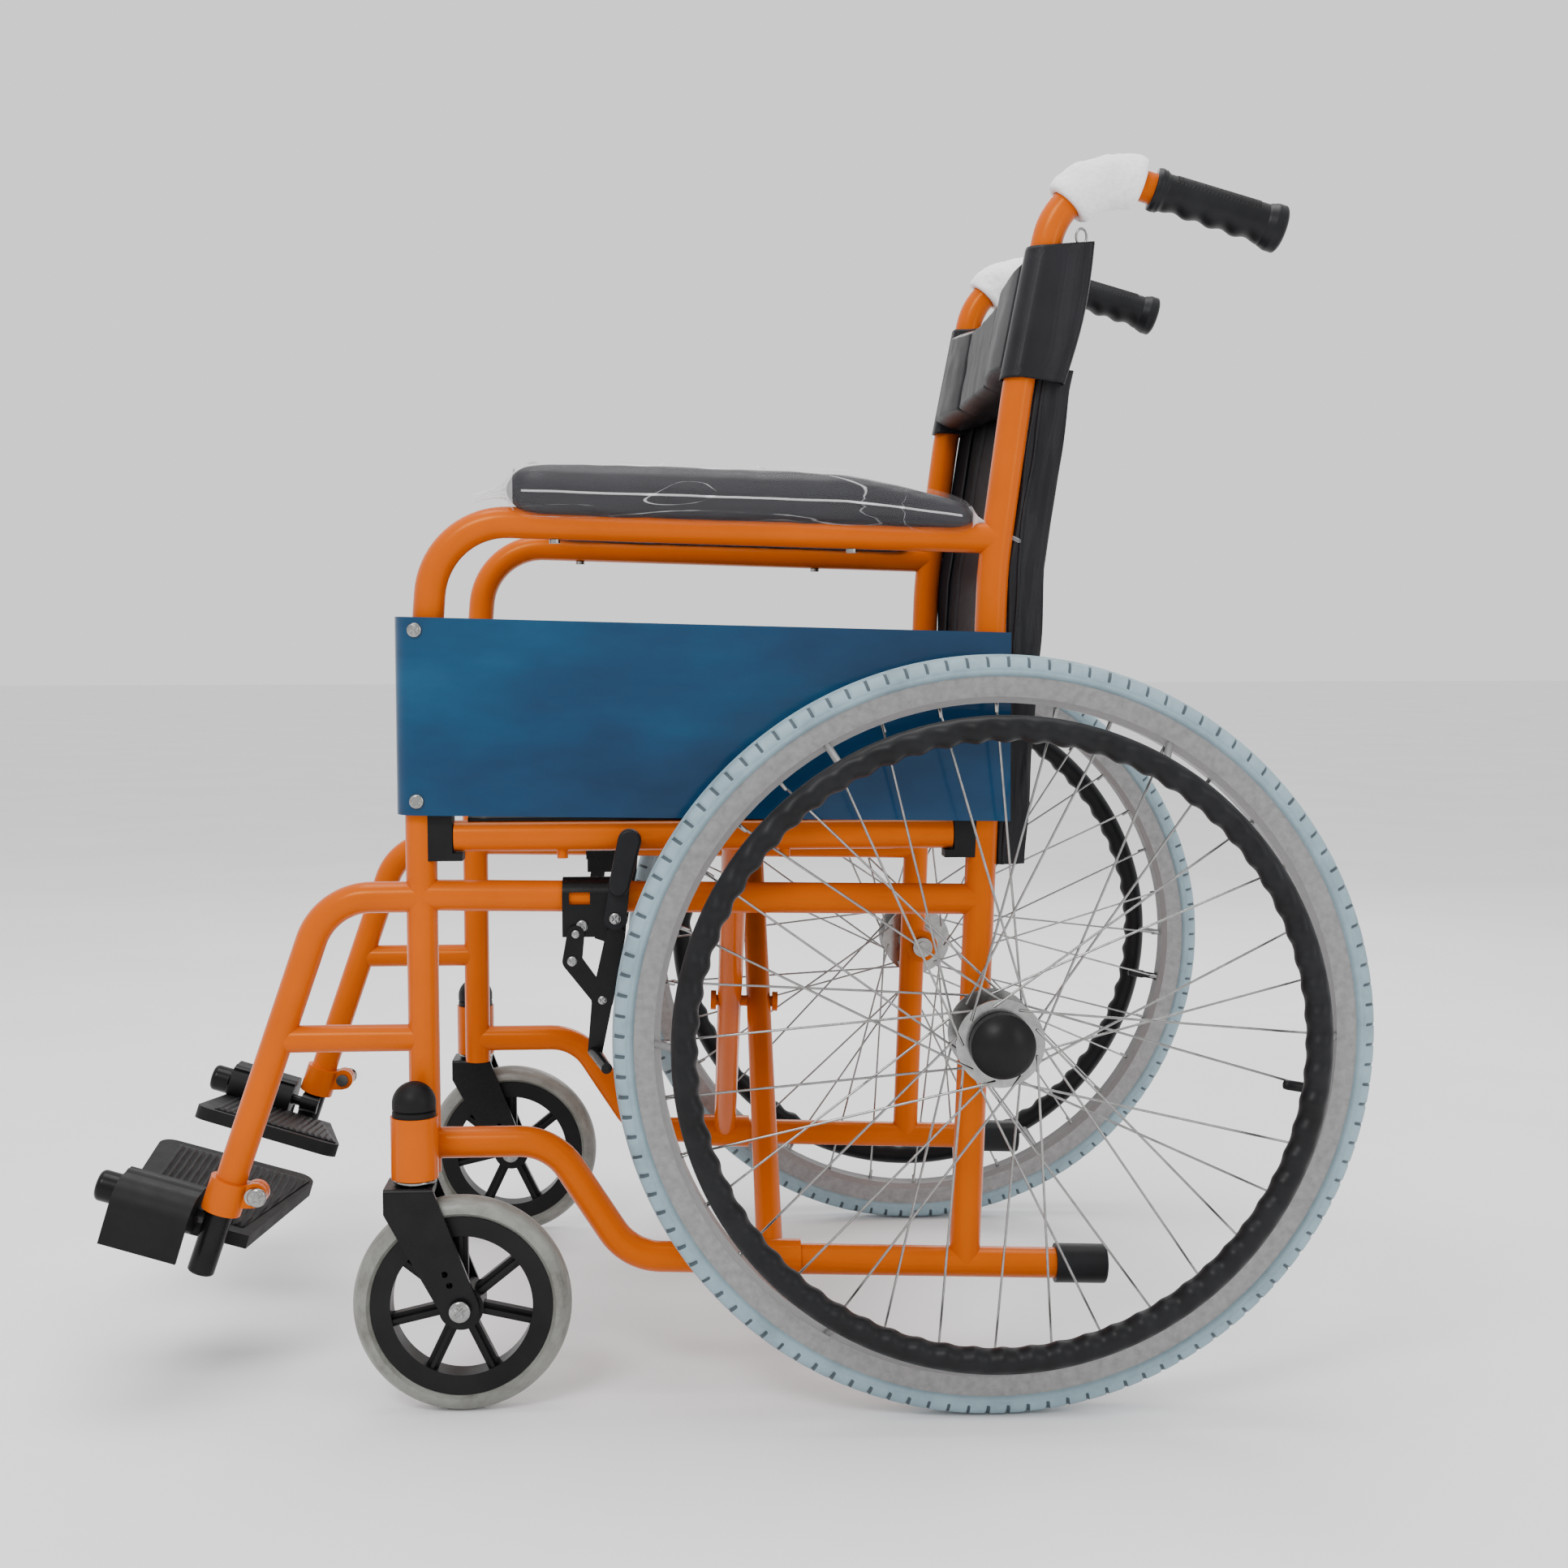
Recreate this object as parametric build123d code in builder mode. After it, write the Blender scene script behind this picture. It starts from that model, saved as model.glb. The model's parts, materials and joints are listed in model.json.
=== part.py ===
from build123d import *
import os
from math import asin, atan2, cos, pi, radians, sin, tan

# Folding manual wheelchair, millimetres.
# +X is forward, +Y is the chair's left, +Z is up. The ground is z = 0 and the chair is
# centred on the origin in X and Y. Left-hand pieces are modelled and the right-hand ones
# are their mirror images in the XZ plane.

# ---------------------------------------------------------------- driving dimensions
overall_length = 1036.0
wheel_r = 305.0                                  # 24 inch wheel over its solid tyre
axle_x = wheel_r - overall_length / 2            # rear axle behind the chair's middle
frame_y = 225.0                                  # side frame plane
wheel_y = 287.0                                  # rear wheel's middle plane
tube_r = 12.7                                    # 1 inch frame tube
tube_wall = 1.5
brace_r = 11.1                                   # 7/8 inch cross-brace and strut tube


def fore(distance):
    """X of a point the given distance ahead of the rear axle."""
    return axle_x + distance


# Side frame stations
front_post_x = fore(460)
front_post_bottom = 188.0
arm_corner = (fore(445.5), 718.3)
arm_rear_z = 704.0
back_post_foot = (fore(16), 103.5)
back_post_knee = (fore(-5.5), 680)
back_post_lean = (fore(-25), 824)
handle_corner = (fore(-61), 1007)
handle_end = (fore(-236), 954)
handle_bend_r = 60.0
lower_rail_front_z = 415.5
lower_rail_rear_z = 408.3
base_rail_front_z = 211.5
base_s_top_x = fore(357)
base_s_foot = (fore(294), 114)
base_rail_end = (fore(-98), 100.7)
base_bend_r = 50.0
rail_slope = atan2(base_s_foot[1] - base_rail_end[1], base_s_foot[0] - base_rail_end[0])

# Footrest hanger
hanger_z = 414.0
hanger_corner_x = fore(537.6)
hanger_bend_r = 52.0
hanger_rake = 19.2                               # leg's lean from the vertical
strut_z = 298.5
collar_bottom_z = 158.0
collar_height = 27.0
collar_r = 16.5

# Folding cross brace
brace_a_x = fore(178)
brace_b_x = fore(205)
seat_rail_z = 463.5
seat_rail_front_x = fore(433)
seat_rail_rear_x = fore(27.5)
sleeve_bore_r = tube_r + 0.6
sleeve_r = sleeve_bore_r + 3.0
sleeve_length = 50.0
brace_bolt_r = 5.0

# Wheels
axle_r = 6.0
caster_r = 88.0
caster_stem_x = fore(465)
caster_y = 256.3
caster_axle_x = fore(428)
running_gap = 0.05

os.makedirs("parts", exist_ok=True)


# ---------------------------------------------------------------- shared helpers
def save(piece, name):
    """Label a finished piece and write its STEP file."""
    piece.label = name
    export_step(piece, f"parts/{name}.step")


def save_pair(piece, name):
    """Write the left-hand piece and its mirror image."""
    save(piece, f"{name}_left")
    save(mirror(piece, about=Plane.XZ), f"{name}_right")


def tube_along(points, radii, y=frame_y, outer=tube_r, wall=tube_wall):
    """Hollow tube in a fore-and-aft plane through (x, z) points; wall 0 is a solid bar."""
    with BuildPart() as tube:
        with BuildLine(Plane.XZ.offset(-y)) as path:
            if radii:
                FilletPolyline(*points, radius=radii)
            else:
                Line(*points)
        with BuildSketch(Plane(path.line @ 0, z_dir=path.line % 0)):
            Circle(outer)
            if wall:
                Circle(outer - wall, mode=Mode.SUBTRACT)
        sweep(path=path.line)
    return tube.part


def rod(start, end, radius):
    """Solid round bar between two points."""
    span = Vector(*end) - Vector(*start)
    with BuildPart() as bar:
        with BuildSketch(Plane(origin=start, z_dir=span)):
            Circle(radius)
        extrude(amount=span.length)
    return bar.part


def ring(start, end, outer, bore):
    """Round sleeve between two points."""
    span = Vector(*end) - Vector(*start)
    with BuildPart() as sleeve:
        with BuildSketch(Plane(origin=start, z_dir=span)):
            Circle(outer)
            Circle(bore, mode=Mode.SUBTRACT)
        extrude(amount=span.length)
    return sleeve.part


def dome_middle(radius, rise):
    """Radius and height, above its rim, of the point halfway up a spherical dome."""
    sphere_r = (radius * radius + rise * rise) / (2 * rise)
    half_angle = asin(radius / sphere_r) / 2
    return sphere_r * sin(half_angle), rise - sphere_r * (1 - cos(half_angle))


def base_rail_z(x):
    """Height of the base rail's straight rear run."""
    return base_rail_end[1] + (x - base_rail_end[0]) * tan(rail_slope)


# ---------------------------------------------------------------- side frame tubes
back_post_points = [back_post_foot, back_post_knee, back_post_lean, handle_corner, handle_end]
back_post_radii = [400, 400, handle_bend_r]
base_rail_points = [
    (front_post_x, base_rail_front_z),
    (base_s_top_x, base_rail_front_z),
    base_s_foot,
    base_rail_end,
]
back_post_core = tube_along(back_post_points, back_post_radii, wall=0)
front_post_points = [
    (front_post_x, front_post_bottom),
    (front_post_x, 545),
    arm_corner,
    (fore(-8), arm_rear_z),
]
front_post_core = tube_along(front_post_points, [300, 62], wall=0)
base_rail_core = tube_along(base_rail_points, [base_bend_r, base_bend_r], wall=0)

with BuildPart() as front_post:
    add(tube_along(front_post_points, [300, 62]))
    add(back_post_core, mode=Mode.SUBTRACT)

axle_z = wheel_r
boss_r = 16.0
boss_end_y = 245.0
with BuildPart() as back_post:
    add(tube_along(back_post_points, back_post_radii))
    add(rod((axle_x, frame_y - tube_r - 1, axle_z), (axle_x, boss_end_y, axle_z), boss_r))
    add(rod((axle_x, frame_y - 30, axle_z), (axle_x, boss_end_y + 5, axle_z), axle_r), mode=Mode.SUBTRACT)
    add(base_rail_core, mode=Mode.SUBTRACT)

with BuildPart() as lower_rail:
    add(tube_along([(front_post_x, lower_rail_front_z), (fore(5), lower_rail_rear_z)], []))
    add(front_post_core, mode=Mode.SUBTRACT)
    add(back_post_core, mode=Mode.SUBTRACT)

with BuildPart() as base_rail:
    add(tube_along(base_rail_points, [base_bend_r, base_bend_r]))
    add(front_post_core, mode=Mode.SUBTRACT)

save_pair(front_post.part, "front_post")
save_pair(back_post.part, "back_post")
save_pair(lower_rail.part, "lower_rail")
save_pair(base_rail.part, "base_rail")

# ---------------------------------------------------------------- footrest hanger
leg_slope = tan(radians(hanger_rake))
leg_down = (sin(radians(hanger_rake)), -cos(radians(hanger_rake)))


def leg_x(z):
    """X of the hanger leg's axis at a height."""
    return hanger_corner_x + (hanger_z - z) * leg_slope


def leg_point(z, along=0.0):
    """Point on the leg's axis, moved down the leg by the given length."""
    return (leg_x(z) + along * leg_down[0], frame_y, z + along * leg_down[1])


leg_end = (leg_x(collar_bottom_z), collar_bottom_z)
collar_mid_z = collar_bottom_z + collar_height / 2
ear_reach = 24.0
ear_r = 10.0
ear_width = 15.0
slit_width = 2.0
with BuildPart() as hanger:
    add(tube_along([(front_post_x, hanger_z), (hanger_corner_x, hanger_z), leg_end], [hanger_bend_r]))
    add(tube_along([(front_post_x, strut_z), (leg_x(strut_z), strut_z)], [], outer=brace_r))
    with BuildSketch(Plane(origin=leg_point(collar_bottom_z), z_dir=(-leg_down[0], 0, -leg_down[1]))):
        Circle(collar_r)
    extrude(amount=collar_height)
    with BuildSketch(Plane.XZ.offset(-(frame_y + ear_width / 2))) as ear:
        ear_x = leg_x(collar_mid_z) - ear_reach
        with Locations((ear_x, collar_mid_z)):
            Circle(ear_r)
        with Locations((ear_x + ear_reach / 2, collar_mid_z - 1)):
            Rectangle(ear_reach, 2 * ear_r - 1)
    extrude(amount=ear_width)
    with BuildSketch(Plane.XZ.offset(-(frame_y + slit_width / 2))):
        with Locations((ear_x - 2, collar_mid_z)):
            Rectangle(2 * ear_reach, 2 * collar_height)
    extrude(amount=slit_width, mode=Mode.SUBTRACT)
    leg_bore_top = (leg_x(hanger_z - 60), frame_y, hanger_z - 60)
    leg_bore_foot = leg_point(collar_bottom_z, 5)
    add(rod(leg_bore_top, leg_bore_foot, tube_r - tube_wall), mode=Mode.SUBTRACT)
    add(rod((ear_x, frame_y - 20, collar_mid_z), (ear_x, frame_y + 20, collar_mid_z), 3), mode=Mode.SUBTRACT)
    add(front_post_core, mode=Mode.SUBTRACT)
save_pair(hanger.part, "footrest_hanger")

# ---------------------------------------------------------------- caster stem housing
housing_r = 19.0
housing_bottom = 191.0
housing_top = 241.0
stem_r = 8.0
bearing_r = 16.0
with BuildPart() as caster_housing:
    housing_axis = Plane(origin=(caster_stem_x, caster_y, housing_bottom))
    with BuildSketch(housing_axis):
        Circle(housing_r)
        Circle(bearing_r, mode=Mode.SUBTRACT)
    extrude(amount=housing_top - housing_bottom)
    add(front_post_core, mode=Mode.SUBTRACT)
    for bearing_z in (housing_bottom, housing_top - 12):
        with BuildSketch(Plane(origin=(caster_stem_x, caster_y, bearing_z))):
            Circle(bearing_r)
            Circle(stem_r + running_gap, mode=Mode.SUBTRACT)
        extrude(amount=12)
save_pair(caster_housing.part, "caster_housing")

cap_r = 17.6
cap_skirt = 12.0
cap_height = 28.0
with BuildPart() as caster_cap:
    with BuildSketch(Plane.XZ.offset(-caster_y)):
        with BuildLine():
            Polyline(
                (caster_stem_x, housing_top + 16),
                (caster_stem_x + 12, housing_top + 12),
                (caster_stem_x + 12, housing_top),
                (caster_stem_x + cap_r, housing_top),
                (caster_stem_x + cap_r, housing_top + 4),
                (caster_stem_x + cap_r - 1.2, housing_top + 5),
                (caster_stem_x + cap_r, housing_top + 6),
                (caster_stem_x + cap_r, housing_top + cap_skirt),
            )
            middle_r, middle_rise = dome_middle(cap_r, cap_height - cap_skirt)
            ThreePointArc(
                (caster_stem_x + cap_r, housing_top + cap_skirt),
                (caster_stem_x + middle_r, housing_top + cap_skirt + middle_rise),
                (caster_stem_x, housing_top + cap_height),
            )
            Line((caster_stem_x, housing_top + cap_height), (caster_stem_x, housing_top + 16))
        make_face()
    revolve(axis=Axis((caster_stem_x, caster_y, 0), (0, 0, 1)))
save_pair(caster_cap.part, "caster_cap")

# ---------------------------------------------------------------- caster fork
fork_inner = 17.5
fork_plate = 4.0
crown_bottom = 180.0
crown_top = 186.0
leg_front_x = fore(488)
leg_rear_x = fore(449)
axle_eye_r = 15.0
caster_bolt_r = 5.0
with BuildPart() as caster_fork:
    for side_y in (caster_y + fork_inner + fork_plate, caster_y - fork_inner):
        with BuildSketch(Plane.XZ.offset(-side_y)):
            with Locations((caster_axle_x, caster_r)):
                Circle(axle_eye_r)
            with Locations(((leg_front_x + leg_rear_x) / 2, (crown_top + 166) / 2)):
                Rectangle(leg_front_x - leg_rear_x, crown_top - 166)
            make_hull()
            for hole_z in (caster_r + 29, caster_r + 20):
                with Locations((caster_axle_x + 0.42 * (hole_z - caster_r), hole_z)):
                    Circle(2.6, mode=Mode.SUBTRACT)
        extrude(amount=fork_plate)
    with BuildSketch(Plane.XY.offset(crown_bottom)):
        with Locations(((leg_front_x + leg_rear_x) / 2, caster_y)):
            Rectangle(leg_front_x - leg_rear_x, 2 * (fork_inner + fork_plate))
    extrude(amount=crown_top - crown_bottom)
    crown_edges = caster_fork.edges().filter_by(Axis.X).group_by(Axis.Z)[-1]
    fillet(crown_edges, 3)
    with BuildSketch(Plane(origin=(caster_stem_x, caster_y, crown_top - 1))):
        Circle(13)
    extrude(amount=4)
    with BuildSketch(Plane(origin=(caster_stem_x, caster_y, crown_top))):
        Circle(stem_r)
    extrude(amount=housing_top - crown_top + 8)
    bolt_reach = fork_inner + fork_plate
    bolt_ends = [
        (caster_axle_x, caster_y - bolt_reach - 6, caster_r),
        (caster_axle_x, caster_y + bolt_reach + 5, caster_r),
    ]
    add(rod(*bolt_ends, caster_bolt_r))
    for head_y in (caster_y + bolt_reach, caster_y - bolt_reach - 4):
        add(rod((caster_axle_x, head_y, caster_r), (caster_axle_x, head_y + 4, caster_r), 8.5))
save_pair(caster_fork.part, "caster_fork")

# ---------------------------------------------------------------- caster wheel
caster_rim_r = 73.0
caster_tyre_half = 14.0
caster_spokes = 7
caster_spin = Axis((caster_axle_x, caster_y, caster_r), (0, 1, 0))
with BuildPart() as caster_tyre:
    with BuildSketch(Plane.YZ.offset(caster_axle_x)):
        with BuildLine():
            Polyline(
                (caster_y + caster_tyre_half - 4, caster_r + caster_rim_r),
                (caster_y - caster_tyre_half + 4, caster_r + caster_rim_r),
            )
            Line(
                (caster_y - caster_tyre_half + 4, caster_r + caster_rim_r),
                (caster_y - caster_tyre_half, caster_r + caster_rim_r + 3),
            )
            ThreePointArc(
                (caster_y - caster_tyre_half, caster_r + caster_rim_r + 3),
                (caster_y, 2 * caster_r),
                (caster_y + caster_tyre_half, caster_r + caster_rim_r + 3),
            )
            Line(
                (caster_y + caster_tyre_half, caster_r + caster_rim_r + 3),
                (caster_y + caster_tyre_half - 4, caster_r + caster_rim_r),
            )
        make_face()
    revolve(axis=caster_spin)
save_pair(caster_tyre.part, "caster_tyre")

with BuildPart() as caster_hub:
    with BuildSketch(Plane.XZ.offset(-(caster_y + 11))):
        with Locations((caster_axle_x, caster_r)):
            Circle(caster_rim_r)
            Circle(caster_rim_r - 16, mode=Mode.SUBTRACT)
    extrude(amount=22)
    with BuildSketch(Plane.XZ.offset(-(caster_y + 4))):
        with Locations((caster_axle_x, caster_r)):
            with PolarLocations(0, caster_spokes, start_angle=90):
                with Locations((37, 0)):
                    Rectangle(46, 10)
    extrude(amount=8)
    with BuildSketch(Plane.XZ.offset(-(caster_y + 9))):
        with Locations((caster_axle_x, caster_r)):
            with PolarLocations(0, caster_spokes, start_angle=90):
                with Locations((37, 0)):
                    Rectangle(46, 3)
    extrude(amount=18)
    with BuildSketch(Plane.XZ.offset(-(caster_y + 16))):
        with Locations((caster_axle_x, caster_r)):
            Circle(18)
    extrude(amount=32)
    with BuildSketch(Plane.XZ.offset(-(caster_y + 20))):
        with Locations((caster_axle_x, caster_r)):
            Circle(caster_bolt_r + running_gap)
    extrude(amount=40, mode=Mode.SUBTRACT)
save_pair(caster_hub.part, "caster_hub")

# ---------------------------------------------------------------- skirt panel
panel_inner_y = 241.8
panel_thickness = 2.0
panel_front_top = 641.0
panel_front_bottom = 482.0
panel_rear_top = 627.0
panel_rear_bottom = 474.0
panel_rear_x = fore(-18)
wrap_r = panel_inner_y - frame_y
with BuildPart() as skirt_panel:
    with BuildSketch(Plane.XY.offset(panel_rear_bottom - 10)):
        with Locations((front_post_x, frame_y)):
            Circle(wrap_r + panel_thickness)
            Circle(wrap_r, mode=Mode.SUBTRACT)
        with Locations((front_post_x - 20, frame_y)):
            Rectangle(40, 60, mode=Mode.SUBTRACT)
        with Locations((front_post_x, frame_y - 20)):
            Rectangle(60, 40, mode=Mode.SUBTRACT)
        with Locations(((panel_rear_x + front_post_x) / 2, panel_inner_y + panel_thickness / 2)):
            Rectangle(front_post_x - panel_rear_x, panel_thickness)
    extrude(amount=200)
    with BuildSketch(Plane.XZ.offset(-(frame_y - 10))):
        front_edge_x = front_post_x + wrap_r + 5
        Polygon(
            (panel_rear_x - 5, panel_rear_bottom),
            (front_edge_x, panel_front_bottom),
            (front_edge_x, panel_front_top),
            (panel_rear_x - 5, panel_rear_top),
            align=None,
        )
    extrude(amount=-40, mode=Mode.INTERSECT)
screw_x = front_post_x + 1
skirt_screw_z = (630, 493)
for screw_z in skirt_screw_z:
    with BuildPart() as drilled_panel:
        add(skirt_panel.part)
        add(rod((screw_x, frame_y + 5, screw_z), (screw_x, frame_y + 30, screw_z), 2.1), mode=Mode.SUBTRACT)
    skirt_panel = drilled_panel
save_pair(skirt_panel.part, "skirt_panel")

# ---------------------------------------------------------------- arm pad
pad_half_width = 26.0
with BuildPart() as arm_pad:
    with BuildSketch(Plane.XZ.offset(-(frame_y + pad_half_width))):
        Polygon(
            (fore(8), 715),
            (fore(384), 723),
            (fore(394), 743),
            (fore(384), 764),
            (fore(300), 767),
            (fore(90), 756),
            (fore(18), 738),
            align=None,
        )
    extrude(amount=2 * pad_half_width)
    top_edges = [edge for edge in arm_pad.edges().filter_by(Axis.Y, reverse=True) if edge.center().Z > 745]
    fillet(top_edges, 10)
    add(tube_along(front_post_points, [300, 62], outer=tube_r + 0.3, wall=0), mode=Mode.SUBTRACT)
save_pair(arm_pad.part, "arm_pad")

# ---------------------------------------------------------------- push handle grip
handle_run = Vector(handle_end[0] - handle_corner[0], 0, handle_end[1] - handle_corner[1]).normalized()
grip_tip = Vector(handle_end[0], frame_y, handle_end[1]) + handle_run * 5
grip_length = 111.0
grip_plane = Plane(origin=grip_tip - handle_run * grip_length, x_dir=(0, 1, 0), z_dir=handle_run)
with BuildPart() as grip:
    with BuildSketch(grip_plane):
        Circle(15.5)
    with BuildSketch(grip_plane.offset(grip_length * 0.5)):
        Circle(17)
    with BuildSketch(grip_plane.offset(grip_length - 14)):
        Circle(17.5)
    loft()
    with BuildSketch(grip_plane):
        Circle(18)
    extrude(amount=5)
    with BuildSketch(grip_plane.offset(grip_length - 14)):
        Circle(19)
    extrude(amount=14)
    fillet(grip.edges().sort_by(Axis(grip_plane.origin, handle_run))[-1], 4)
    with BuildSketch(grip_plane):
        Circle(tube_r)
    extrude(amount=grip_length - 5, mode=Mode.SUBTRACT)
save_pair(grip.part, "push_grip")

# ---------------------------------------------------------------- foam wrap on the handle bend
foam_r = 21.0
foam_start_share = 0.35
foam_end_share = 0.99
with BuildPart() as foam_wrap:
    with BuildLine(Plane.XZ.offset(-frame_y)) as handle_path:
        FilletPolyline(*back_post_points, radius=back_post_radii)
    bend_arc = handle_path.edges().filter_by(GeomType.CIRCLE).sort_by(Axis.Z)[-1]
    wrapped_arc = bend_arc.trim(foam_start_share, foam_end_share)
    with BuildSketch(Plane(wrapped_arc @ 0, z_dir=wrapped_arc % 0)):
        Circle(foam_r)
        Circle(tube_r + 0.3, mode=Mode.SUBTRACT)
    sweep(path=wrapped_arc)
save_pair(foam_wrap.part, "foam_wrap")

# ---------------------------------------------------------------- base rail tip cap
cap_start = Vector(fore(-60), frame_y, base_rail_z(fore(-60)))
rail_back = Vector(-cos(rail_slope), 0, -sin(rail_slope))
cap_length = 43.0
tip_cap_r = 16.2
with BuildPart() as tip_cap:
    with BuildSketch(Plane(origin=cap_start, z_dir=rail_back)):
        Circle(tip_cap_r)
    extrude(amount=cap_length)
    fillet(tip_cap.edges().sort_by(Axis.X)[0], 2.5)
    add(base_rail_core, mode=Mode.SUBTRACT)
save_pair(tip_cap.part, "tip_cap")

# ---------------------------------------------------------------- rear wheel
rim_outer_r = 291.0
rim_inner_r = 267.0
rim_half = 14.0
rim_wall = 2.0
rim_bed_half = 11.0
rim_bed_r = rim_outer_r - 9
rim_lip_r = rim_outer_r - 3
tyre_half = 17.0
tyre_wide_r = 295.0
wheel_spin = Axis((axle_x, wheel_y, axle_z), (0, 1, 0))


def wheel_point(across, radius):
    """Point of a wheel section in the YZ plane, above the axle."""
    return (wheel_y + across, axle_z + radius)


with BuildPart() as tyre:
    with BuildSketch(Plane.YZ.offset(axle_x)):
        with BuildLine():
            Polyline(
                wheel_point(tyre_half - 2, rim_lip_r),
                wheel_point(rim_half, rim_lip_r),
                wheel_point(rim_bed_half, rim_bed_r),
                wheel_point(-rim_bed_half, rim_bed_r),
                wheel_point(-rim_half, rim_lip_r),
                wheel_point(2 - tyre_half, rim_lip_r),
                wheel_point(-tyre_half, tyre_wide_r),
            )
            ThreePointArc(
                wheel_point(-tyre_half, tyre_wide_r),
                wheel_point(0, wheel_r),
                wheel_point(tyre_half, tyre_wide_r),
            )
            Line(wheel_point(tyre_half, tyre_wide_r), wheel_point(tyre_half - 2, rim_lip_r))
        make_face()
    revolve(axis=wheel_spin)
save_pair(tyre.part, "rear_tyre")

handrim_r = 248.0
handrim_tube_r = 10.8
handrim_y = 332.0
standoffs = 6
standoff_foot_r = rim_inner_r + 4
with BuildPart() as rim:
    with BuildSketch(Plane.YZ.offset(axle_x)):
        Polygon(
            wheel_point(rim_half, rim_lip_r),
            wheel_point(rim_half, rim_inner_r + 5),
            wheel_point(rim_half - 4, rim_inner_r),
            wheel_point(4 - rim_half, rim_inner_r),
            wheel_point(-rim_half, rim_inner_r + 5),
            wheel_point(-rim_half, rim_lip_r),
            wheel_point(-rim_bed_half, rim_bed_r),
            wheel_point(rim_bed_half, rim_bed_r),
            align=None,
        )
        Polygon(
            wheel_point(rim_bed_half, rim_bed_r - rim_wall),
            wheel_point(rim_half - rim_wall, rim_inner_r + 5.5),
            wheel_point(rim_half - 4.5, rim_inner_r + rim_wall),
            wheel_point(4.5 - rim_half, rim_inner_r + rim_wall),
            wheel_point(rim_wall - rim_half, rim_inner_r + 5.5),
            wheel_point(-rim_bed_half, rim_bed_r - rim_wall),
            align=None,
            mode=Mode.SUBTRACT,
        )
    revolve(axis=wheel_spin)
    for turn in range(standoffs):
        bearing = radians(360 / standoffs * turn + 30)
        out = (sin(bearing), cos(bearing))
        foot = (axle_x + standoff_foot_r * out[0], wheel_y + 10, axle_z + standoff_foot_r * out[1])
        head = (axle_x + handrim_r * out[0], handrim_y, axle_z + handrim_r * out[1])
        add(rod(foot, head, 3.0))
    with BuildSketch(Plane.YZ.offset(axle_x)):
        with Locations(wheel_point(handrim_y - wheel_y, handrim_r)):
            Circle(handrim_tube_r)
    revolve(axis=wheel_spin, mode=Mode.SUBTRACT)
save_pair(rim.part, "rear_rim")

with BuildPart() as handrim:
    with BuildSketch(Plane.YZ.offset(axle_x)):
        with Locations(wheel_point(handrim_y - wheel_y, handrim_r)):
            Circle(handrim_tube_r)
            Circle(handrim_tube_r - 2, mode=Mode.SUBTRACT)
    revolve(axis=wheel_spin)
save_pair(handrim.part, "hand_rim")

# Hub with flanges, barrel and two bearings
flange_offset = 27.0
flange_r = 35.0
flange_hole_r = 30.0
hub_end = 30.0
hub_bearing_r = 14.0
with BuildPart() as hub:
    with BuildSketch(Plane.YZ.offset(axle_x)):
        Polygon(
            wheel_point(-hub_end, hub_bearing_r),
            wheel_point(-hub_end, 18),
            wheel_point(-flange_offset - 1.2, 19),
            wheel_point(-flange_offset - 1.2, flange_r),
            wheel_point(-flange_offset + 1.2, flange_r),
            wheel_point(-flange_offset + 2.5, 19),
            wheel_point(0, 16.5),
            wheel_point(flange_offset - 2.5, 19),
            wheel_point(flange_offset - 1.2, flange_r),
            wheel_point(flange_offset + 1.2, flange_r),
            wheel_point(flange_offset + 1.2, 19),
            wheel_point(hub_end, 18),
            wheel_point(hub_end, hub_bearing_r),
            align=None,
        )
    revolve(axis=wheel_spin)
    for across in (-hub_end, hub_end - 9):
        with BuildSketch(Plane.YZ.offset(axle_x)):
            Polygon(
                wheel_point(across, axle_r + running_gap),
                wheel_point(across + 9, axle_r + running_gap),
                wheel_point(across + 9, hub_bearing_r),
                wheel_point(across, hub_bearing_r),
                align=None,
            )
        revolve(axis=wheel_spin)
save_pair(hub.part, "wheel_hub")

hub_cap_r = 25.5
hub_cap_skirt = 12.0
hub_cap_depth = 24.0
with BuildPart() as hub_cap:
    with BuildSketch(Plane.YZ.offset(axle_x)):
        with BuildLine():
            Polyline(
                wheel_point(hub_end + hub_cap_depth - 5, 0),
                wheel_point(hub_end + hub_cap_skirt, hub_cap_r - 5),
                wheel_point(hub_end, hub_cap_r - 5),
                wheel_point(hub_end, hub_cap_r),
                wheel_point(hub_end + hub_cap_skirt, hub_cap_r),
            )
            middle_r, middle_rise = dome_middle(hub_cap_r, hub_cap_depth - hub_cap_skirt)
            ThreePointArc(
                wheel_point(hub_end + hub_cap_skirt, hub_cap_r),
                wheel_point(hub_end + hub_cap_skirt + middle_rise, middle_r),
                wheel_point(hub_end + hub_cap_depth, 0),
            )
            Line(wheel_point(hub_end + hub_cap_depth, 0), wheel_point(hub_end + hub_cap_depth - 5, 0))
        make_face()
    revolve(axis=wheel_spin)
save_pair(hub_cap.part, "hub_cap")

# Thirty-six laced spokes: each flange carries half, alternately trailing and leading
spokes_per_flange = 18
spoke_r = 1.0
lacing_turn = radians(62)
with BuildPart() as spokes:
    for flange in (-1, 1):
        for index in range(spokes_per_flange):
            lean = 1 if index % 2 else -1
            rim_angle = 2 * pi * (index + (0.5 if flange > 0 else 0)) / spokes_per_flange
            hub_angle = rim_angle + lean * lacing_turn
            flange_y = wheel_y + flange * flange_offset + lean * 2.4
            rim_y = wheel_y + flange * 4 + lean * 1.6
            head_x = axle_x + flange_hole_r * sin(hub_angle)
            head = (head_x, flange_y, axle_z + flange_hole_r * cos(hub_angle))
            reach = rim_inner_r - 0.3
            nipple = (axle_x + reach * sin(rim_angle), rim_y, axle_z + reach * cos(rim_angle))
            add(rod(head, nipple, spoke_r))
save_pair(spokes.part, "wheel_spokes")

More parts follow.
